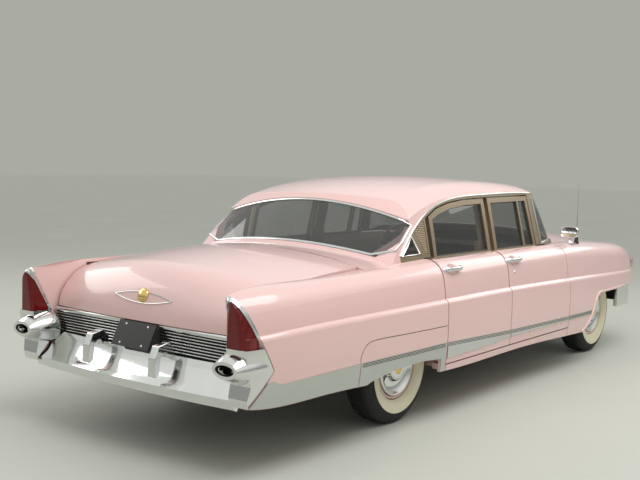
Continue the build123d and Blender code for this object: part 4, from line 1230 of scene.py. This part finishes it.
    def louvre_ribs(self, side: Side) -> bpy.types.Object:
        """Level ribs on the pillar panel."""
        bm = bmesh.new()
        low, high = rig.box("pillar_louvres")
        z = low.z + self.rib_pitch
        panel = Skin(self.nodes, ["pillar_louvres"])
        while z < high.z - 0.012:
            run = [hit for hit in (self.reach(panel, x / 1000, z, side) for x in range(-1012, -878, 6)) if hit]
            if len(run) > 3:
                sweep(bm, run, half_round(self.rib_pitch * self.rib_share, self.rib_rise))
            z += self.rib_pitch
        return lay_piece(f"louvre_ribs_{side.word}", bm, GOLD, "body", Slot.GOLD)

    @staticmethod
    def reach(panel: Skin, x: float, z: float, side: Side) -> Spot | None:
        """Point of a panel, or nothing past its edge."""
        try:
            return panel.side(x, z, side)
        except ValueError:
            return None

    def quarter_frame(self, side: Side) -> bpy.types.Object:
        """Thin bright frame round the small rear side light."""
        hits = [self.shell.side(x, z, side) for x, z in self.light_corners]
        return self.laid(f"quarter_frame_{side.word}", hits, half_round(*self.light_frame), CHROME, Slot.CHROME, True)


@dataclass
class TailEnd(Assembly):
    """Lamps, ribbed panel, plate and bumper."""

    bezel_width: float = 0.016
    bezel_rise: float = 0.010
    lamp_tall: float = 0.302
    badge_half: float = 0.235
    badge_rise: float = 0.030
    badge_z: float = 0.845
    port_place: Pair = (0.838, 0.586)
    port_size: Pair = (0.0636, 0.0276)
    hood_edge: Pair = (0.008, 0.021)
    hood_stand: float = 0.006
    hood_thick: float = 0.007
    port_x: float = -2.722
    liner_rows: Profile = ((0.0, 0.0), (0.0, 0.97), (0.104, 0.988), (0.104, 0.94), (0.006, 0.93), (0.006, 0.0))
    pipe_rows: Profile = ((0.004, 0.78), (0.098, 0.78), (0.101, 0.74), (0.098, 0.70), (0.004, 0.70))
    cap_form: Profile = ((0, 0.022), (0.012, 0.0215), (0.022, 0.018), (0.028, 0.011), (0.030, 0.010), (0.036, 0.009),
                         (0.040, 0.005), (0.041, -0.004), (0, -0.004))
    cap_lift: float = 0.012
    badge_rod: Pair = (0.007, 0.006)
    lamp_foot: Place = (-2.6556, 0, 0.690)
    lamp_tip: Place = (-2.7906, 0, 0.960)
    oval_steps: int = 48
    bolt_form: Profile = ((0, 0.5), (0.5, 0.42), (0.85, 0.2), (1, 0), (1, -0.2), (0, -0.2))
    bolt_size: float = 0.0065
    bolt_y: Pair = (-0.09, 0.09)
    bolt_z: Pair = (0.59, 0.69)
    moulding_place: Pair = (-2.614, 0.6955)
    moulding_size: Pair = (0.029, 0.015)
    moulding_y: tuple[float, ...] = (-0.782, -0.4, 0, 0.4, 0.782)
    bar_x: float = -2.616
    bar_size: Pair = (0.0062, 0.004)
    bar_ends: Pair = (0.150, 0.783)
    bar_foot: float = 0.5705
    bar_pitch: float = 0.017
    bar_count: int = 7

    def build(self) -> list[bpy.types.Object]:
        """Dress the tail."""
        self.coat(RED_LENS, "tail_lamps")
        self.coat(BLACK, "tail_panel")
        self.coat(PLATE_BLACK, "licence_plate")
        self.coat(CHROME, "rear_bumper")
        made = [self.lamp_bezel(side) for side in Side]
        made += [self.lamp_hood(side) for side in Side]
        made += [self.port_liner(side) for side in Side]
        made += [self.tail_pipe(side) for side in Side]
        return made + [self.badge_outline(), self.badge_cap(), self.plate_bolts(), self.panel_moulding(),
                       self.panel_bars()]

    def lamp_bezel(self, side: Side) -> bpy.types.Object:
        """Bright rim where the lamp meets the fin."""
        foot, rise, back = self.lamp_plane()
        spots = []
        for vert in self.nodes["tail_lamps"].data.vertices:
            off = vert.co - foot
            if vert.co.y * side.value > 0 and abs(off.x * back.x + off.z * back.z) < 0.0015:
                spots.append((vert.co.y, off.dot(rise)))
        ring = hull(spots)
        rim = [(Vector((foot.x, y, foot.z)) + rise * s, back) for y, s in ring]
        return self.laid(f"lamp_bezel_{side.word}", rim, half_round(self.bezel_width, self.bezel_rise, 0.006), CHROME,
                         Slot.CHROME, True)

    def lamp_hood(self, side: Side) -> bpy.types.Object:
        """Bright hood that covers the top of a lamp and narrows down its edge."""
        foot, rise, back = self.lamp_plane()
        bm = bmesh.new()
        bm.from_mesh(self.nodes["tail_lamps"].data)
        bmesh.ops.remove_doubles(bm, verts=bm.verts, dist=2e-5)
        far = [face for face in bm.faces if face.calc_center_median().y * side.value < 0
               or abs((face.calc_center_median() - foot).dot(back)) < 0.001]
        bmesh.ops.delete(bm, geom=far, context="FACES")
        bmesh.ops.subdivide_edges(bm, edges=bm.edges, cuts=3, use_grid_fill=True)
        low, high = self.hood_edge
        edge = (rise * self.lamp_tall + back * (high - low)).normalized()
        bmesh.ops.bisect_plane(bm, geom=[*bm.verts, *bm.edges, *bm.faces], plane_co=foot + back * low,
                               plane_no=Vector((edge.z, 0, -edge.x)), clear_outer=False, clear_inner=True)
        bmesh.ops.recalc_face_normals(bm, faces=bm.faces)
        if sum(face.normal.x * face.calc_area() for face in bm.faces) > 0:
            bmesh.ops.reverse_faces(bm, faces=bm.faces)
        bm.normal_update()
        for vert in bm.verts:
            vert.co += vert.normal * self.hood_stand
        bmesh.ops.solidify(bm, geom=bm.faces, thickness=self.hood_thick)
        return lay_piece(f"lamp_hood_{side.word}", bm, CHROME, "body", Slot.CHROME, 50)

    def lamp_plane(self) -> tuple[Vector, Vector, Vector]:
        """Foot of the plane where lamp and fin meet, with its directions up and back."""
        foot = Vector(self.lamp_foot)
        rise = (Vector(self.lamp_tip) - foot).normalized()
        return foot, rise, Vector((-rise.z, 0, rise.x))

    def oval_tube(self, bm: bmesh.types.BMesh, side: Side, rows: Sequence[Pair]) -> None:
        """Run a wall of oval section through rows of (depth behind the port's floor, share of its size)."""
        centre = Vector((self.port_x, self.port_place[0] * side.value, self.port_place[1]))
        wide, tall = self.port_size
        turns = [2 * math.pi * i / self.oval_steps for i in range(self.oval_steps)]
        rings = [[bm.verts.new(centre + Vector((-depth, wide * share * math.cos(a), tall * share * math.sin(a))))
                  for a in turns] for depth, share in rows]
        bridge(bm, rings)

    def port_liner(self, side: Side) -> bpy.types.Object:
        """Sooty liner of an exhaust port."""
        bm = bmesh.new()
        self.oval_tube(bm, side, self.liner_rows)
        return lay_piece(f"port_liner_{side.word}", bm, DARK_STEEL, "body", Slot.BLACK_STEEL)

    def tail_pipe(self, side: Side) -> bpy.types.Object:
        """Bright pipe end inside an exhaust port."""
        bm = bmesh.new()
        self.oval_tube(bm, side, self.pipe_rows)
        return lay_piece(f"tail_pipe_{side.word}", bm, CHROME, "body", Slot.CHROME)

    def badge_outline(self) -> bpy.types.Object:
        """Plain bright outline on the lid."""
        lid = Skin(self.nodes, ["trunk_lid"])
        hits = []
        for i in range(self.oval_steps):
            t = 2 * math.pi * i / self.oval_steps
            y = self.badge_half * math.cos(t)
            lift = self.badge_rise * (1 - (y / self.badge_half) ** 2) * (1 if math.sin(t) > 0 else -1)
            hits.append(lid.rear(y, self.badge_z + lift))
        return self.laid("badge_outline", hits, half_round(*self.badge_rod), CHROME, Slot.CHROME, True, "trunk_lid")

    def badge_cap(self) -> bpy.types.Object:
        """Plain round cover over the lid's lock."""
        spot = Skin(self.nodes, ["trunk_lid"]).rear(0, self.badge_z + self.cap_lift)
        return self.spun("badge_cap", self.cap_form, spot, 40, BRASS, Slot.GOLD, "trunk_lid")

    def plate_bolts(self) -> bpy.types.Object:
        """Four round heads that hold the plate."""
        plate = Skin(self.nodes, ["licence_plate"])
        bm = bmesh.new()
        turned(bm, self.bolt_form, Vector(), UP, 16)
        places = [plate.rear(y, z) for y in self.bolt_y for z in self.bolt_z]
        return self.repeat.lay("plate_bolts", bm, places, self.bolt_size, CHROME, "body", Slot.CHROME)

    def panel_moulding(self) -> bpy.types.Object:
        """Bright bar between the lid and the ribbed panel."""
        x, z = self.moulding_place
        run = [(Vector((x, y, z)), Vector((-1, 0, 0.25))) for y in self.moulding_y]
        return self.laid("panel_moulding", run, half_round(*self.moulding_size), CHROME, Slot.CHROME)

    def panel_bars(self) -> bpy.types.Object:
        """Bright edges of the panel's level ribs."""
        bm = bmesh.new()
        near, far = self.bar_ends
        for rib in range(self.bar_count):
            z = self.bar_foot + rib * self.bar_pitch
            for ends in ((-far, -near), (near, far)):
                sweep(bm, [(Vector((self.bar_x, y, z)), Vector((-1, 0, 0))) for y in ends],
                      half_round(*self.bar_size))
        return lay_piece("panel_bars", bm, CHROME, "body", Slot.CHROME)


def hull(points: Iterable[Pair]) -> list[Pair]:
    """Outline round flat points.

    Args:
        points: the points.

    Returns:
        Corners of the outline in order.
    """
    spots = sorted(set(points))

    def half(run: Iterable[Pair]) -> list[Pair]:
        """One side of the outline."""
        kept: list[Pair] = []
        for p in run:
            while len(kept) > 1 and ((kept[-1][0] - kept[-2][0]) * (p[1] - kept[-2][1])
                                     - (kept[-1][1] - kept[-2][1]) * (p[0] - kept[-2][0])) <= 1e-9:
                kept.pop()
            kept.append(p)
        return kept[:-1]

    return half(spots) + half(reversed(spots))


@dataclass
class FrontEnd(Assembly):
    """Lamps, grille, bumper and fittings ahead."""

    lamp_y: float = 0.796
    lamp_z: float = 0.745
    lamp_x: float = 2.774
    ring_form: Profile = ((0.066, 0.0), (0.068, 0.010), (0.074, 0.016), (0.082, 0.012), (0.088, 0.0), (0.089, -0.018),
                          (0.071, -0.018), (0.066, 0.0))
    mirror: Place = (1.290, 0.868, 1.098)
    mirror_half: Pair = (0.080, 0.046)
    mirror_back: float = 0.022
    mirror_steps: int = 48
    squareness: float = 0.62
    mirror_rows: Profile = ((0.0, 0.004), (0.86, 0.004), (0.89, 0.001), (0.95, -0.001), (1.0, 0.002), (1.0, 0.016),
                            (0.93, 0.030), (0.72, 0.042), (0.40, 0.049), (0.0, 0.050))
    mast: Place = (1.440, -0.862, 1.460)
    foot_form: Profile = ((0, -0.008), (0.020, -0.008), (0.020, 0.004), (0.0165, 0.024), (0.010, 0.062),
                          (0.006, 0.066), (0, 0.066))

    def build(self) -> list[bpy.types.Object]:
        """Dress the nose."""
        self.coat(CHROME, "front_bumper", "grille", "fender_fittings")
        self.coat(CLEAR_LENS, "headlamps")
        made = [self.lamp_bezel(side) for side in Side]
        return made + [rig.replaces(self.fittings(), "fender_fittings"), self.mast_foot()]

    def fittings(self) -> bpy.types.Object:
        """Oblong mirrors on stalks, and the aerial."""
        fender = Skin(self.nodes, ["front_fenders"])
        bm = bmesh.new()
        x, y, z = self.mirror
        wide, tall = self.mirror_half
        turns = [2 * math.pi * i / self.mirror_steps for i in range(self.mirror_steps)]
        for side in Side:
            bridge(bm, [[bm.verts.new((x - self.mirror_back + depth,
                                       y * side.value + share * wide * self.corner(math.cos(a)),
                                       z + share * tall * self.corner(math.sin(a)))) for a in turns]
                        for share, depth in self.mirror_rows])
            foot, _ = fender.top(x, y * side.value)
            reach = z - tall - foot.z
            turned(bm, [(0, -0.006), (0.026, -0.006), (0.026, 0.004), (0.016, 0.014), (0.010, 0.030),
                        (0.009, reach + 0.004), (0, reach + 0.004)], foot, UP, 24)
        foot, _ = fender.top(*self.mast[:2])
        tall = self.mast[2] - foot.z
        turned(bm, [(0, 0.0), (0.004, 0.0), (0.0036, tall * 0.5), (0.0022, tall * 0.52), (0.0018, tall - 0.006),
                    (0.004, tall - 0.005), (0.004, tall - 0.001), (0, tall)], foot, UP, 12)
        return lay_piece("mirrors_and_aerial", bm, CHROME, "body", Slot.CHROME)

    def corner(self, share: float) -> float:
        """Square off a circle's share toward a rounded oblong."""
        return math.copysign(abs(share) ** self.squareness, share)

    def mast_foot(self) -> bpy.types.Object:
        """Black foot of the aerial."""
        foot, _ = Skin(self.nodes, ["front_fenders"]).top(*self.mast[:2])
        return self.spun("aerial_foot", self.foot_form, (foot, UP), 28, BLACK, Slot.CABIN_PLASTIC)

    def lamp_bezel(self, side: Side) -> bpy.types.Object:
        """Bright ring round a headlamp."""
        spot = Vector((self.lamp_x, self.lamp_y * side.value, self.lamp_z)), Vector((1, 0, 0))
        return self.spun(f"headlamp_bezel_{side.word}", self.ring_form, spot, 56, CHROME, Slot.CHROME)


@dataclass
class RoadWheel(Assembly):
    """One wheel with its tyre and cover."""

    axle: Axle
    side: Side
    axle_x: float
    middle_y: float
    hub_z: float = 0.358
    steps: int = 180
    wall: Profile = ((0.206, 0.078), (0.222, 0.092), (0.25, 0.1005), (0.276, 0.1029), (0.284, 0.1027),
                     (0.2865, 0.1042), (0.289, 0.1024), (0.31, 0.0985), (0.332, 0.088), (0.343, 0.0785),
                     (0.3495, 0.0735), (0.3535, 0.066), (0.355, 0.058))
    grooves: tuple[float, ...] = (0.036, 0.012, -0.012, -0.036)
    groove_form: Profile = ((0.0045, 0.0), (0.003, -0.007), (-0.003, -0.007), (-0.0045, 0.0))
    tread_radius: float = 0.358
    crowning: float = 0.9
    sway: float = 0.0028
    cover_form: Profile = ((0.176, 0.060), (0.181, 0.068), (0.182, 0.076), (0.178, 0.082), (0.172, 0.083),
                           (0.165, 0.079), (0.150, 0.069), (0.128, 0.061), (0.105, 0.0585), (0.094, 0.060),
                           (0.088, 0.066), (0.080, 0.086), (0.076, 0.0905), (0.066, 0.093), (0.0, 0.093))
    rim_form: Profile = ((0, 0.040), (0.0305, 0.040), (0.0305, -0.026), (0.062, -0.026), (0.062, 0.022),
                         (0.186, 0.022), (0.186, -0.080), (0.2005, -0.080), (0.2005, 0.070), (0.197, 0.0745),
                         (0.191, 0.074), (0.185, 0.066), (0.176, 0.056), (0.100, 0.050), (0, 0.050))
    cap_form: Profile = ((0.0, 0.104), (0.014, 0.1035), (0.028, 0.101), (0.038, 0.0965), (0.042, 0.0935),
                         (0.042, 0.090), (0.0, 0.090))
    flute_count: int = 32
    flute_place: Pair = (0.0845, 0.0755)
    flute_half: Place = (0.011, 0.0030, 0.002)
    flute_slope: Pair = (0.008, 0.020)

    def build(self) -> list[bpy.types.Object]:
        """Tyre, rim and the cover with its painted-shade flutes and gold centre."""
        tag = f"{self.axle.value}_{self.side.word}"
        self.body = f"wheel_{tag}"
        self.coat(PINK, f"wheel_{tag}")
        return [self.tyre(tag), self.rim(tag), self.cover(tag), self.flutes(tag), self.hub_cap(tag)]

    def tyre(self, tag: str) -> bpy.types.Object:
        """Tyre with zigzag grooves round the tread."""
        rows: list[Place] = [(r, y, 0.0) for r, y in self.wall]
        for middle in self.grooves:
            for step, drop in self.groove_form:
                y = middle + step
                rows.append((self.tread_radius - self.crowning * y * y + drop, y, self.sway))
        rows += [(r, -y, 0.0) for r, y in reversed(self.wall)]
        bm = bmesh.new()
        rings = []
        for radius, y, sway in rows:
            ring = []
            for i in range(self.steps):
                angle = 2 * math.pi * i / self.steps
                ring.append(bm.verts.new((self.axle_x + radius * math.cos(angle),
                                          self.middle_y + y + (sway if i % 4 < 2 else -sway),
                                          self.hub_z + radius * math.sin(angle))))
            rings.append(ring)
        bridge(bm, rings, True)
        finish = TyreRubber(f"tyre_rubber_{self.axle.value}", self.axle_x, self.hub_z, abs(self.middle_y))
        obj = lay_piece(f"road_tyre_{tag}", bm, finish, self.body, Slot.TYRE, 40)
        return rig.replaces(obj, f"tyre_{tag}")

    def hub(self) -> Spot:
        """Middle of the wheel, and the direction out of the car there."""
        return Vector((self.axle_x, self.middle_y, self.hub_z)), Vector((0, self.side.value, 0))

    def cover(self, tag: str) -> bpy.types.Object:
        """Dished bright cover over the wheel."""
        return self.spun(f"wheel_cover_{tag}", self.cover_form, self.hub(), 72, CHROME, Slot.CHROME, self.body)

    def rim(self, tag: str) -> bpy.types.Object:
        """Painted rim and disc, hollow behind the cover."""
        obj = self.spun(f"rim_{tag}", self.rim_form, self.hub(), 96, PINK, Slot.PAINT, self.body)
        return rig.replaces(obj, f"wheel_{tag}")

    def flutes(self, tag: str) -> bpy.types.Object:
        """Dark flutes round the raised middle of the cover: painted shade, as the real flutes are chrome."""
        bm = bmesh.new()
        slab(bm, tuple(-half for half in self.flute_half), self.flute_half, 0.0012)
        bmesh.ops.rotate(bm, verts=bm.verts, matrix=Matrix.Rotation(math.pi / 2, 3, "Y"))
        places = []
        centre, out = self.hub()
        for i in range(self.flute_count):
            angle = 2 * math.pi * i / self.flute_count
            arm = Vector((math.cos(angle), 0, math.sin(angle)))
            places.append((centre + arm * self.flute_place[0] + out * self.flute_place[1],
                           (out * self.flute_slope[1] - arm * self.flute_slope[0]).normalized()))
        # the dark steel fins are painted shade; the real cover and its flutes are chrome
        return self.repeat.lay(f"cover_flutes_{tag}", bm, places, 1.0, DARK_STEEL, self.body, Slot.BLACK_STEEL)

    def hub_cap(self, tag: str) -> bpy.types.Object:
        """Gold centre of the cover."""
        return self.spun(f"hub_cap_{tag}", self.cap_form, self.hub(), 48, BRASS, Slot.GOLD, self.body)


@dataclass
class Bench(Assembly):
    """A padded bench: cushion, back and the base that carries them."""

    node: str
    cushion_low: Place
    cushion_high: Place
    back_foot: Pair
    back_head: Pair
    back_thick: float
    half_width: float
    channel: float = 0.115
    voxel: float = 0.013
    swell_cap: float = 0.02
    pressure: float = 4.0
    frames: int = 20
    stitch_depth: float = 0.009
    stitch_width: float = 0.011
    floor_z: float = 0.325
    foot_y: Pair = (-0.42, 0.42)
    foot_half: float = 0.02
    base_z: float = 0.4705

    def build(self) -> list[bpy.types.Object]:
        """Upholster the bench."""
        cushion = self.pad("cushion", self.cushion_mesh())
        back = self.pad("back", self.back_mesh())
        base = self.base()
        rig.replaces(cushion, self.node)
        return [cushion, back, base]

    def cushion_mesh(self) -> bmesh.types.BMesh:
        """Plain block that the cushion swells from."""
        bm = bmesh.new()
        slab(bm, self.cushion_low, self.cushion_high, 0.035)
        return bm

    def back_mesh(self) -> bmesh.types.BMesh:
        """Leaning slab that the back swells from."""
        bm = bmesh.new()
        foot, head = (Vector((x, 0, z)) for x, z in (self.back_foot, self.back_head))
        tall = (head - foot).length
        slab(bm, (-self.back_thick / 2, -self.half_width, 0), (self.back_thick / 2, self.half_width, tall), 0.04)
        lean = math.atan2(head.x - foot.x, head.z - foot.z)
        bmesh.ops.rotate(bm, verts=bm.verts, matrix=Matrix.Rotation(lean, 3, "Y"))
        bmesh.ops.translate(bm, verts=bm.verts, vec=foot)
        return bm

    def pad(self, part: str, bm: bmesh.types.BMesh) -> bpy.types.Object:
        """Swell a block by cloth simulation and sew channels into it.

        Args:
            part: which part of the bench.
            bm: the block, which is used up.

        Returns:
            The padded piece.
        """
        obj = lay_piece(f"{self.node}_{part}", bm, BROCADE, "body", Slot.CLOTH)
        scene = bpy.context.scene
        remesh = obj.modifiers.new("voxels", "REMESH")
        remesh.mode, remesh.voxel_size = "VOXEL", self.voxel
        self.settle(obj)
        rest = [v.co.copy() for v in obj.data.vertices]
        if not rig.quick():
            cloth = obj.modifiers.new("cloth", "CLOTH")
            cloth.settings.use_pressure = True
            cloth.settings.uniform_pressure_force = self.pressure
            cloth.settings.effector_weights.gravity = 0
            cloth.point_cache.frame_start, cloth.point_cache.frame_end = 1, self.frames
            for step in range(1, self.frames + 1):
                scene.frame_set(step)
            self.settle(obj)
            scene.frame_set(1)
            for vert, start in zip(obj.data.vertices, rest):
                move = vert.co - start
                if move.length > self.swell_cap:
                    vert.co = start + move.normalized() * self.swell_cap
        for vert in obj.data.vertices:
            gap = abs((vert.co.y / self.channel + 0.5) % 1 - 0.5) * self.channel
            edge = min(1.0, max(0.0, (self.half_width - 0.07 - abs(vert.co.y)) / 0.03))
            vert.co -= vert.normal * self.stitch_depth * math.exp(-(gap / self.stitch_width) ** 2) * edge
        smooth = obj.modifiers.new("smooth", "SUBSURF")
        smooth.levels = smooth.render_levels = 1
        obj.data.polygons.foreach_set("use_smooth", [True] * len(obj.data.polygons))
        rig.padded(obj, fill=0.75)
        return obj

    @staticmethod
    def settle(obj: bpy.types.Object) -> None:
        """Make the modified mesh the piece's own."""
        ready = obj.evaluated_get(bpy.context.evaluated_depsgraph_get())
        mesh = bpy.data.meshes.new_from_object(ready)
        obj.modifiers.clear()
        obj.data = mesh

    def base(self) -> bpy.types.Object:
        """Skirted base with its feet on the floor."""
        low, high = self.cushion_low, self.cushion_high
        bm = bmesh.new()
        slab(bm, (low[0] + 0.03, low[1] + 0.03, self.base_z), (high[0] - 0.04, high[1] - 0.03, low[2] + 0.004), 0.008)
        for y in self.foot_y:
            slab(bm, (low[0] + 0.05, y - self.foot_half, self.floor_z), (high[0] - 0.05, y + self.foot_half, 0.480),
                 0.004)
        return lay_piece(f"{self.node}_base", bm, VINYL, "body", Slot.CLOTH)


@dataclass
class Cabin(Assembly):
    """Dashboard, steering wheel, lining, trays and door cards."""

    card_thick: float = 0.012
    card_rise: Pair = (0.40, 0.965)
    rest_rise: Pair = (0.665, 0.715)
    rest_reach: Pair = (0.062, 0.01)
    lining_grid: tuple[int, int] = (25, 21)
    lining_start: float = -0.98
    lining_gap: float = 0.008
    lining_pitch: Pair = (0.066, 0.056)
    lining_sag: float = 0.006

    def build(self) -> list[bpy.types.Object]:
        """Dress the inside."""
        self.coat(DASH_BLACK, "dashboard", "steering_column")
        self.coat(IVORY, "steering_wheel")
        self.coat(CARPET, "floor_pan")
        self.coat(TRAY, "parcel_shelf")
        self.coat(VINYL, "hinges")
        made = [self.card(axle, side) for axle in Axle for side in Side]
        return made + [self.lining()]

    def card(self, axle: Axle, side: Side) -> bpy.types.Object:
        """Trim panel inside a door."""
        body = f"door_{axle.value}_{side.word}"
        low_x, high_x, y = (0.05, 0.86, 0.799) if axle is Axle.FRONT else (-0.86, -0.16, 0.786)
        bm = bmesh.new()
        inner, outer = sorted((side.value * (y - self.card_thick), side.value * y))
        slab(bm, (low_x, inner, self.card_rise[0]), (high_x, outer, self.card_rise[1]), 0.004)
        inner, outer = sorted(side.value * (y - reach) for reach in self.rest_reach)
        slab(bm, (low_x + 0.25, inner, self.rest_rise[0]), (high_x - 0.18, outer, self.rest_rise[1]), 0.016)
        return lay_piece(f"door_card_{axle.value}_{side.word}", bm, VINYL, body, Slot.CLOTH)

    def lining(self) -> bpy.types.Object:
        """Cloth lining under the roof, held by cross bows."""
        roof = Skin(self.nodes, ["roof"])
        bm = bmesh.new()
        rows = []
        long, wide = self.lining_grid
        for i in range(long):
            x = self.lining_start + i * self.lining_pitch[0]
            row = []
            for k in range(wide):
                y = (k - wide // 2) * self.lining_pitch[1]
                point, _ = roof.cast((x, y, 1.15), (0, 0, 1))
                sag = self.lining_sag * math.sin(math.pi * (i % 5) / 5)
                row.append(bm.verts.new((x, y, point.z - self.lining_gap - sag)))
            rows.append(row)
        for one, two in zip(rows, rows[1:]):
            for k in range(wide - 1):
                bm.faces.new((one[k], one[k + 1], two[k + 1], two[k]))
        return lay_piece("roof_lining", bm, LINING, "body", Slot.CLOTH, 80)


@dataclass
class RunningGear(Assembly):
    """What shows from below."""

    def build(self) -> list[bpy.types.Object]:
        """Finish the chassis and machinery."""
        self.coat(DARK_STEEL, "chassis_frame", "front_suspension", "firewall", "radiator_panel", "fuel_tank",
                  "knuckle_left", "knuckle_right", "drive_line")
        self.coat(ENGINE_PAINT, "engine")
        self.coat(RAW_STEEL, "exhaust")
        return []


@dataclass
class Studio:
    """Floor, lights and the photograph's camera."""

    camera_place: Place = (-6.277, -4.062, 1.642)
    heading: float = 38.31
    tilt: float = -4.87
    roll: float = -1.3
    focal: float = 959.0
    sensor: float = 36.0
    middle: Pair = (305.9, 241.8)
    frame: Pair = (640.0, 480.0)
    sky: Colour = (0.62, 0.63, 0.60)
    wall: Colour = (0.30, 0.305, 0.285)
    ceiling: Colour = (0.80, 0.81, 0.78)
    backdrop: Colour = (0.40, 0.41, 0.37)
    lamp_tint: Colour = (1.0, 0.985, 0.965)
    lamps: tuple[tuple[str, Place, Place, Pair, float], ...] = (
        ("key", (-1.0, -2.6, 5.4), (-0.4, 0, 0.6), (7.0, 3.2), 230),
        ("left_fill", (-3.0, 6.5, 4.2), (0, 0, 0.8), (6.0, 3.0), 110),
        ("front_fill", (6.5, -2.5, 4.0), (0.8, 0, 0.7), (4.0, 3.0), 60))

    def build(self) -> None:
        """Set the stage."""
        self.floor()
        self.lights()
        self.camera()
        bpy.context.scene.view_settings.view_transform = "Standard"

    def floor(self) -> None:
        """Wide pale floor."""
        bm = bmesh.new()
        bmesh.ops.create_grid(bm, x_segments=1, y_segments=1, size=60)
        mesh = bpy.data.meshes.new("studio_floor")
        bm.to_mesh(mesh)
        bm.free()
        mesh.materials.append(FLOOR.material())
        obj = bpy.data.objects.new("studio_floor", mesh)
        bpy.context.scene.collection.objects.link(obj)
        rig.stage(obj)

    def lights(self) -> None:
        """Even sky and three soft panels."""
        world = bpy.data.worlds.new("studio")
        bpy.context.scene.world = world
        world.use_nodes = True
        tree = world.node_tree
        sky = tree.nodes["Background"].inputs
        ray = tree.nodes.new("ShaderNodeLightPath").outputs
        way = tree.nodes.new("ShaderNodeSeparateXYZ")
        tree.links.new(tree.nodes.new("ShaderNodeTexCoord").outputs["Generated"], way.inputs[0])
        rise = tree.nodes.new("ShaderNodeMapRange")
        rise.interpolation_type = "SMOOTHSTEP"
        rise.inputs[1].default_value, rise.inputs[2].default_value = 0.0, 0.5
        tree.links.new(way.outputs[2], rise.inputs[0])
        mirrored = self.blend(tree, rise.outputs[0], self.wall, self.ceiling)
        unseen = self.blend(tree, ray["Is Glossy Ray"], self.sky, mirrored)
        tree.links.new(self.blend(tree, ray["Is Camera Ray"], unseen, self.backdrop), sky["Color"])
        sky["Strength"].default_value = 1.0
        for name, place, aim, size, power in self.lamps:
            lamp = bpy.data.lights.new(name, "AREA")
            lamp.shape, lamp.size, lamp.size_y, lamp.energy = "RECTANGLE", size[0], size[1], power
            lamp.color = self.lamp_tint
            obj = bpy.data.objects.new(name, lamp)
            obj.location = place
            obj.rotation_euler = (Vector(aim) - Vector(place)).to_track_quat("-Z", "Y").to_euler()
            bpy.context.scene.collection.objects.link(obj)

    @staticmethod
    def blend(tree: bpy.types.NodeTree, share: bpy.types.NodeSocket, *colours: Colour | bpy.types.NodeSocket
              ) -> bpy.types.NodeSocket:
        """Mix two colours of the sky.

        Args:
            tree: the sky's nodes.
            share: output that says how much of the second colour.
            colours: the two, as numbers or outputs.

        Returns:
            The mixed colour.
        """
        made = tree.nodes.new("ShaderNodeMix")
        made.data_type = "RGBA"
        tree.links.new(share, made.inputs[0])
        for place, colour in zip((6, 7), colours):
            if isinstance(colour, tuple):
                made.inputs[place].default_value = (*colour, 1)
            else:
                tree.links.new(colour, made.inputs[place])
        return made.outputs[2]

    def camera(self) -> None:
        """Camera solved from the photograph."""
        az, el, roll = (math.radians(a) for a in (self.heading, self.tilt, self.roll))
        ahead = Vector((math.cos(el) * math.cos(az), math.cos(el) * math.sin(az), math.sin(el)))
        right = ahead.cross(UP).normalized()
        down = ahead.cross(right)
        across = right * math.cos(roll) + down * math.sin(roll)
        fall = down * math.cos(roll) - right * math.sin(roll)
        data = bpy.data.cameras.new("photo_camera")
        data.sensor_width = self.sensor
        data.lens = self.focal / self.frame[0] * self.sensor
        data.shift_x = (self.frame[0] / 2 - self.middle[0]) / self.frame[0]
        data.shift_y = (self.middle[1] - self.frame[1] / 2) / self.frame[0]
        data.clip_end = 200
        obj = bpy.data.objects.new("photo_camera", data)
        turn = Matrix((across, -fall, -ahead)).transposed()
        obj.matrix_world = Matrix.Translation(self.camera_place) @ turn.to_4x4()
        bpy.context.scene.collection.objects.link(obj)
        bpy.context.scene.camera = obj


def main() -> None:
    """Build the sub-assemblies in order, report each piece, and note both boxes."""
    logging.basicConfig(level=logging.INFO, format="%(name)s: %(message)s")
    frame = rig.load()
    nodes = frame["nodes"]
    solid_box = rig.bounds()
    Studio().build()
    repeat = Repeat("repeat_at_points")
    wheels = [RoadWheel(nodes, repeat, axle, side, x, y * side.value)
              for axle, x, y in ((Axle.FRONT, 1.95, 0.743), (Axle.REAR, -1.25, 0.762)) for side in Side]
    benches = [Bench(nodes, repeat, "front_seat", (-0.125, -0.675, 0.50), (0.375, 0.675, 0.588), (-0.10, 0.55),
                     (-0.172, 0.965), 0.085, 0.675),
               Bench(nodes, repeat, "rear_seat", (-0.86, -0.605, 0.50), (-0.44, 0.605, 0.598), (-0.905, 0.57),
                     (-0.960, 0.955), 0.085, 0.605)]
    for part in (Bodywork(nodes, repeat), Greenhouse(nodes, repeat), TailEnd(nodes, repeat), FrontEnd(nodes, repeat),
                 *wheels, *benches, Cabin(nodes, repeat), RunningGear(nodes, repeat)):
        for made in part.build():
            LOG.info("%s: %s, %d faces", type(part).__name__, made.name, len(made.data.polygons))
    boxes = {"cad": [list(corner) for corner in solid_box], "visual": [list(corner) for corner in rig.bounds()]}
    with open("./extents.json", "w", encoding="utf-8") as out:
        json.dump(boxes, out)


if __name__ == "__main__":
    main()
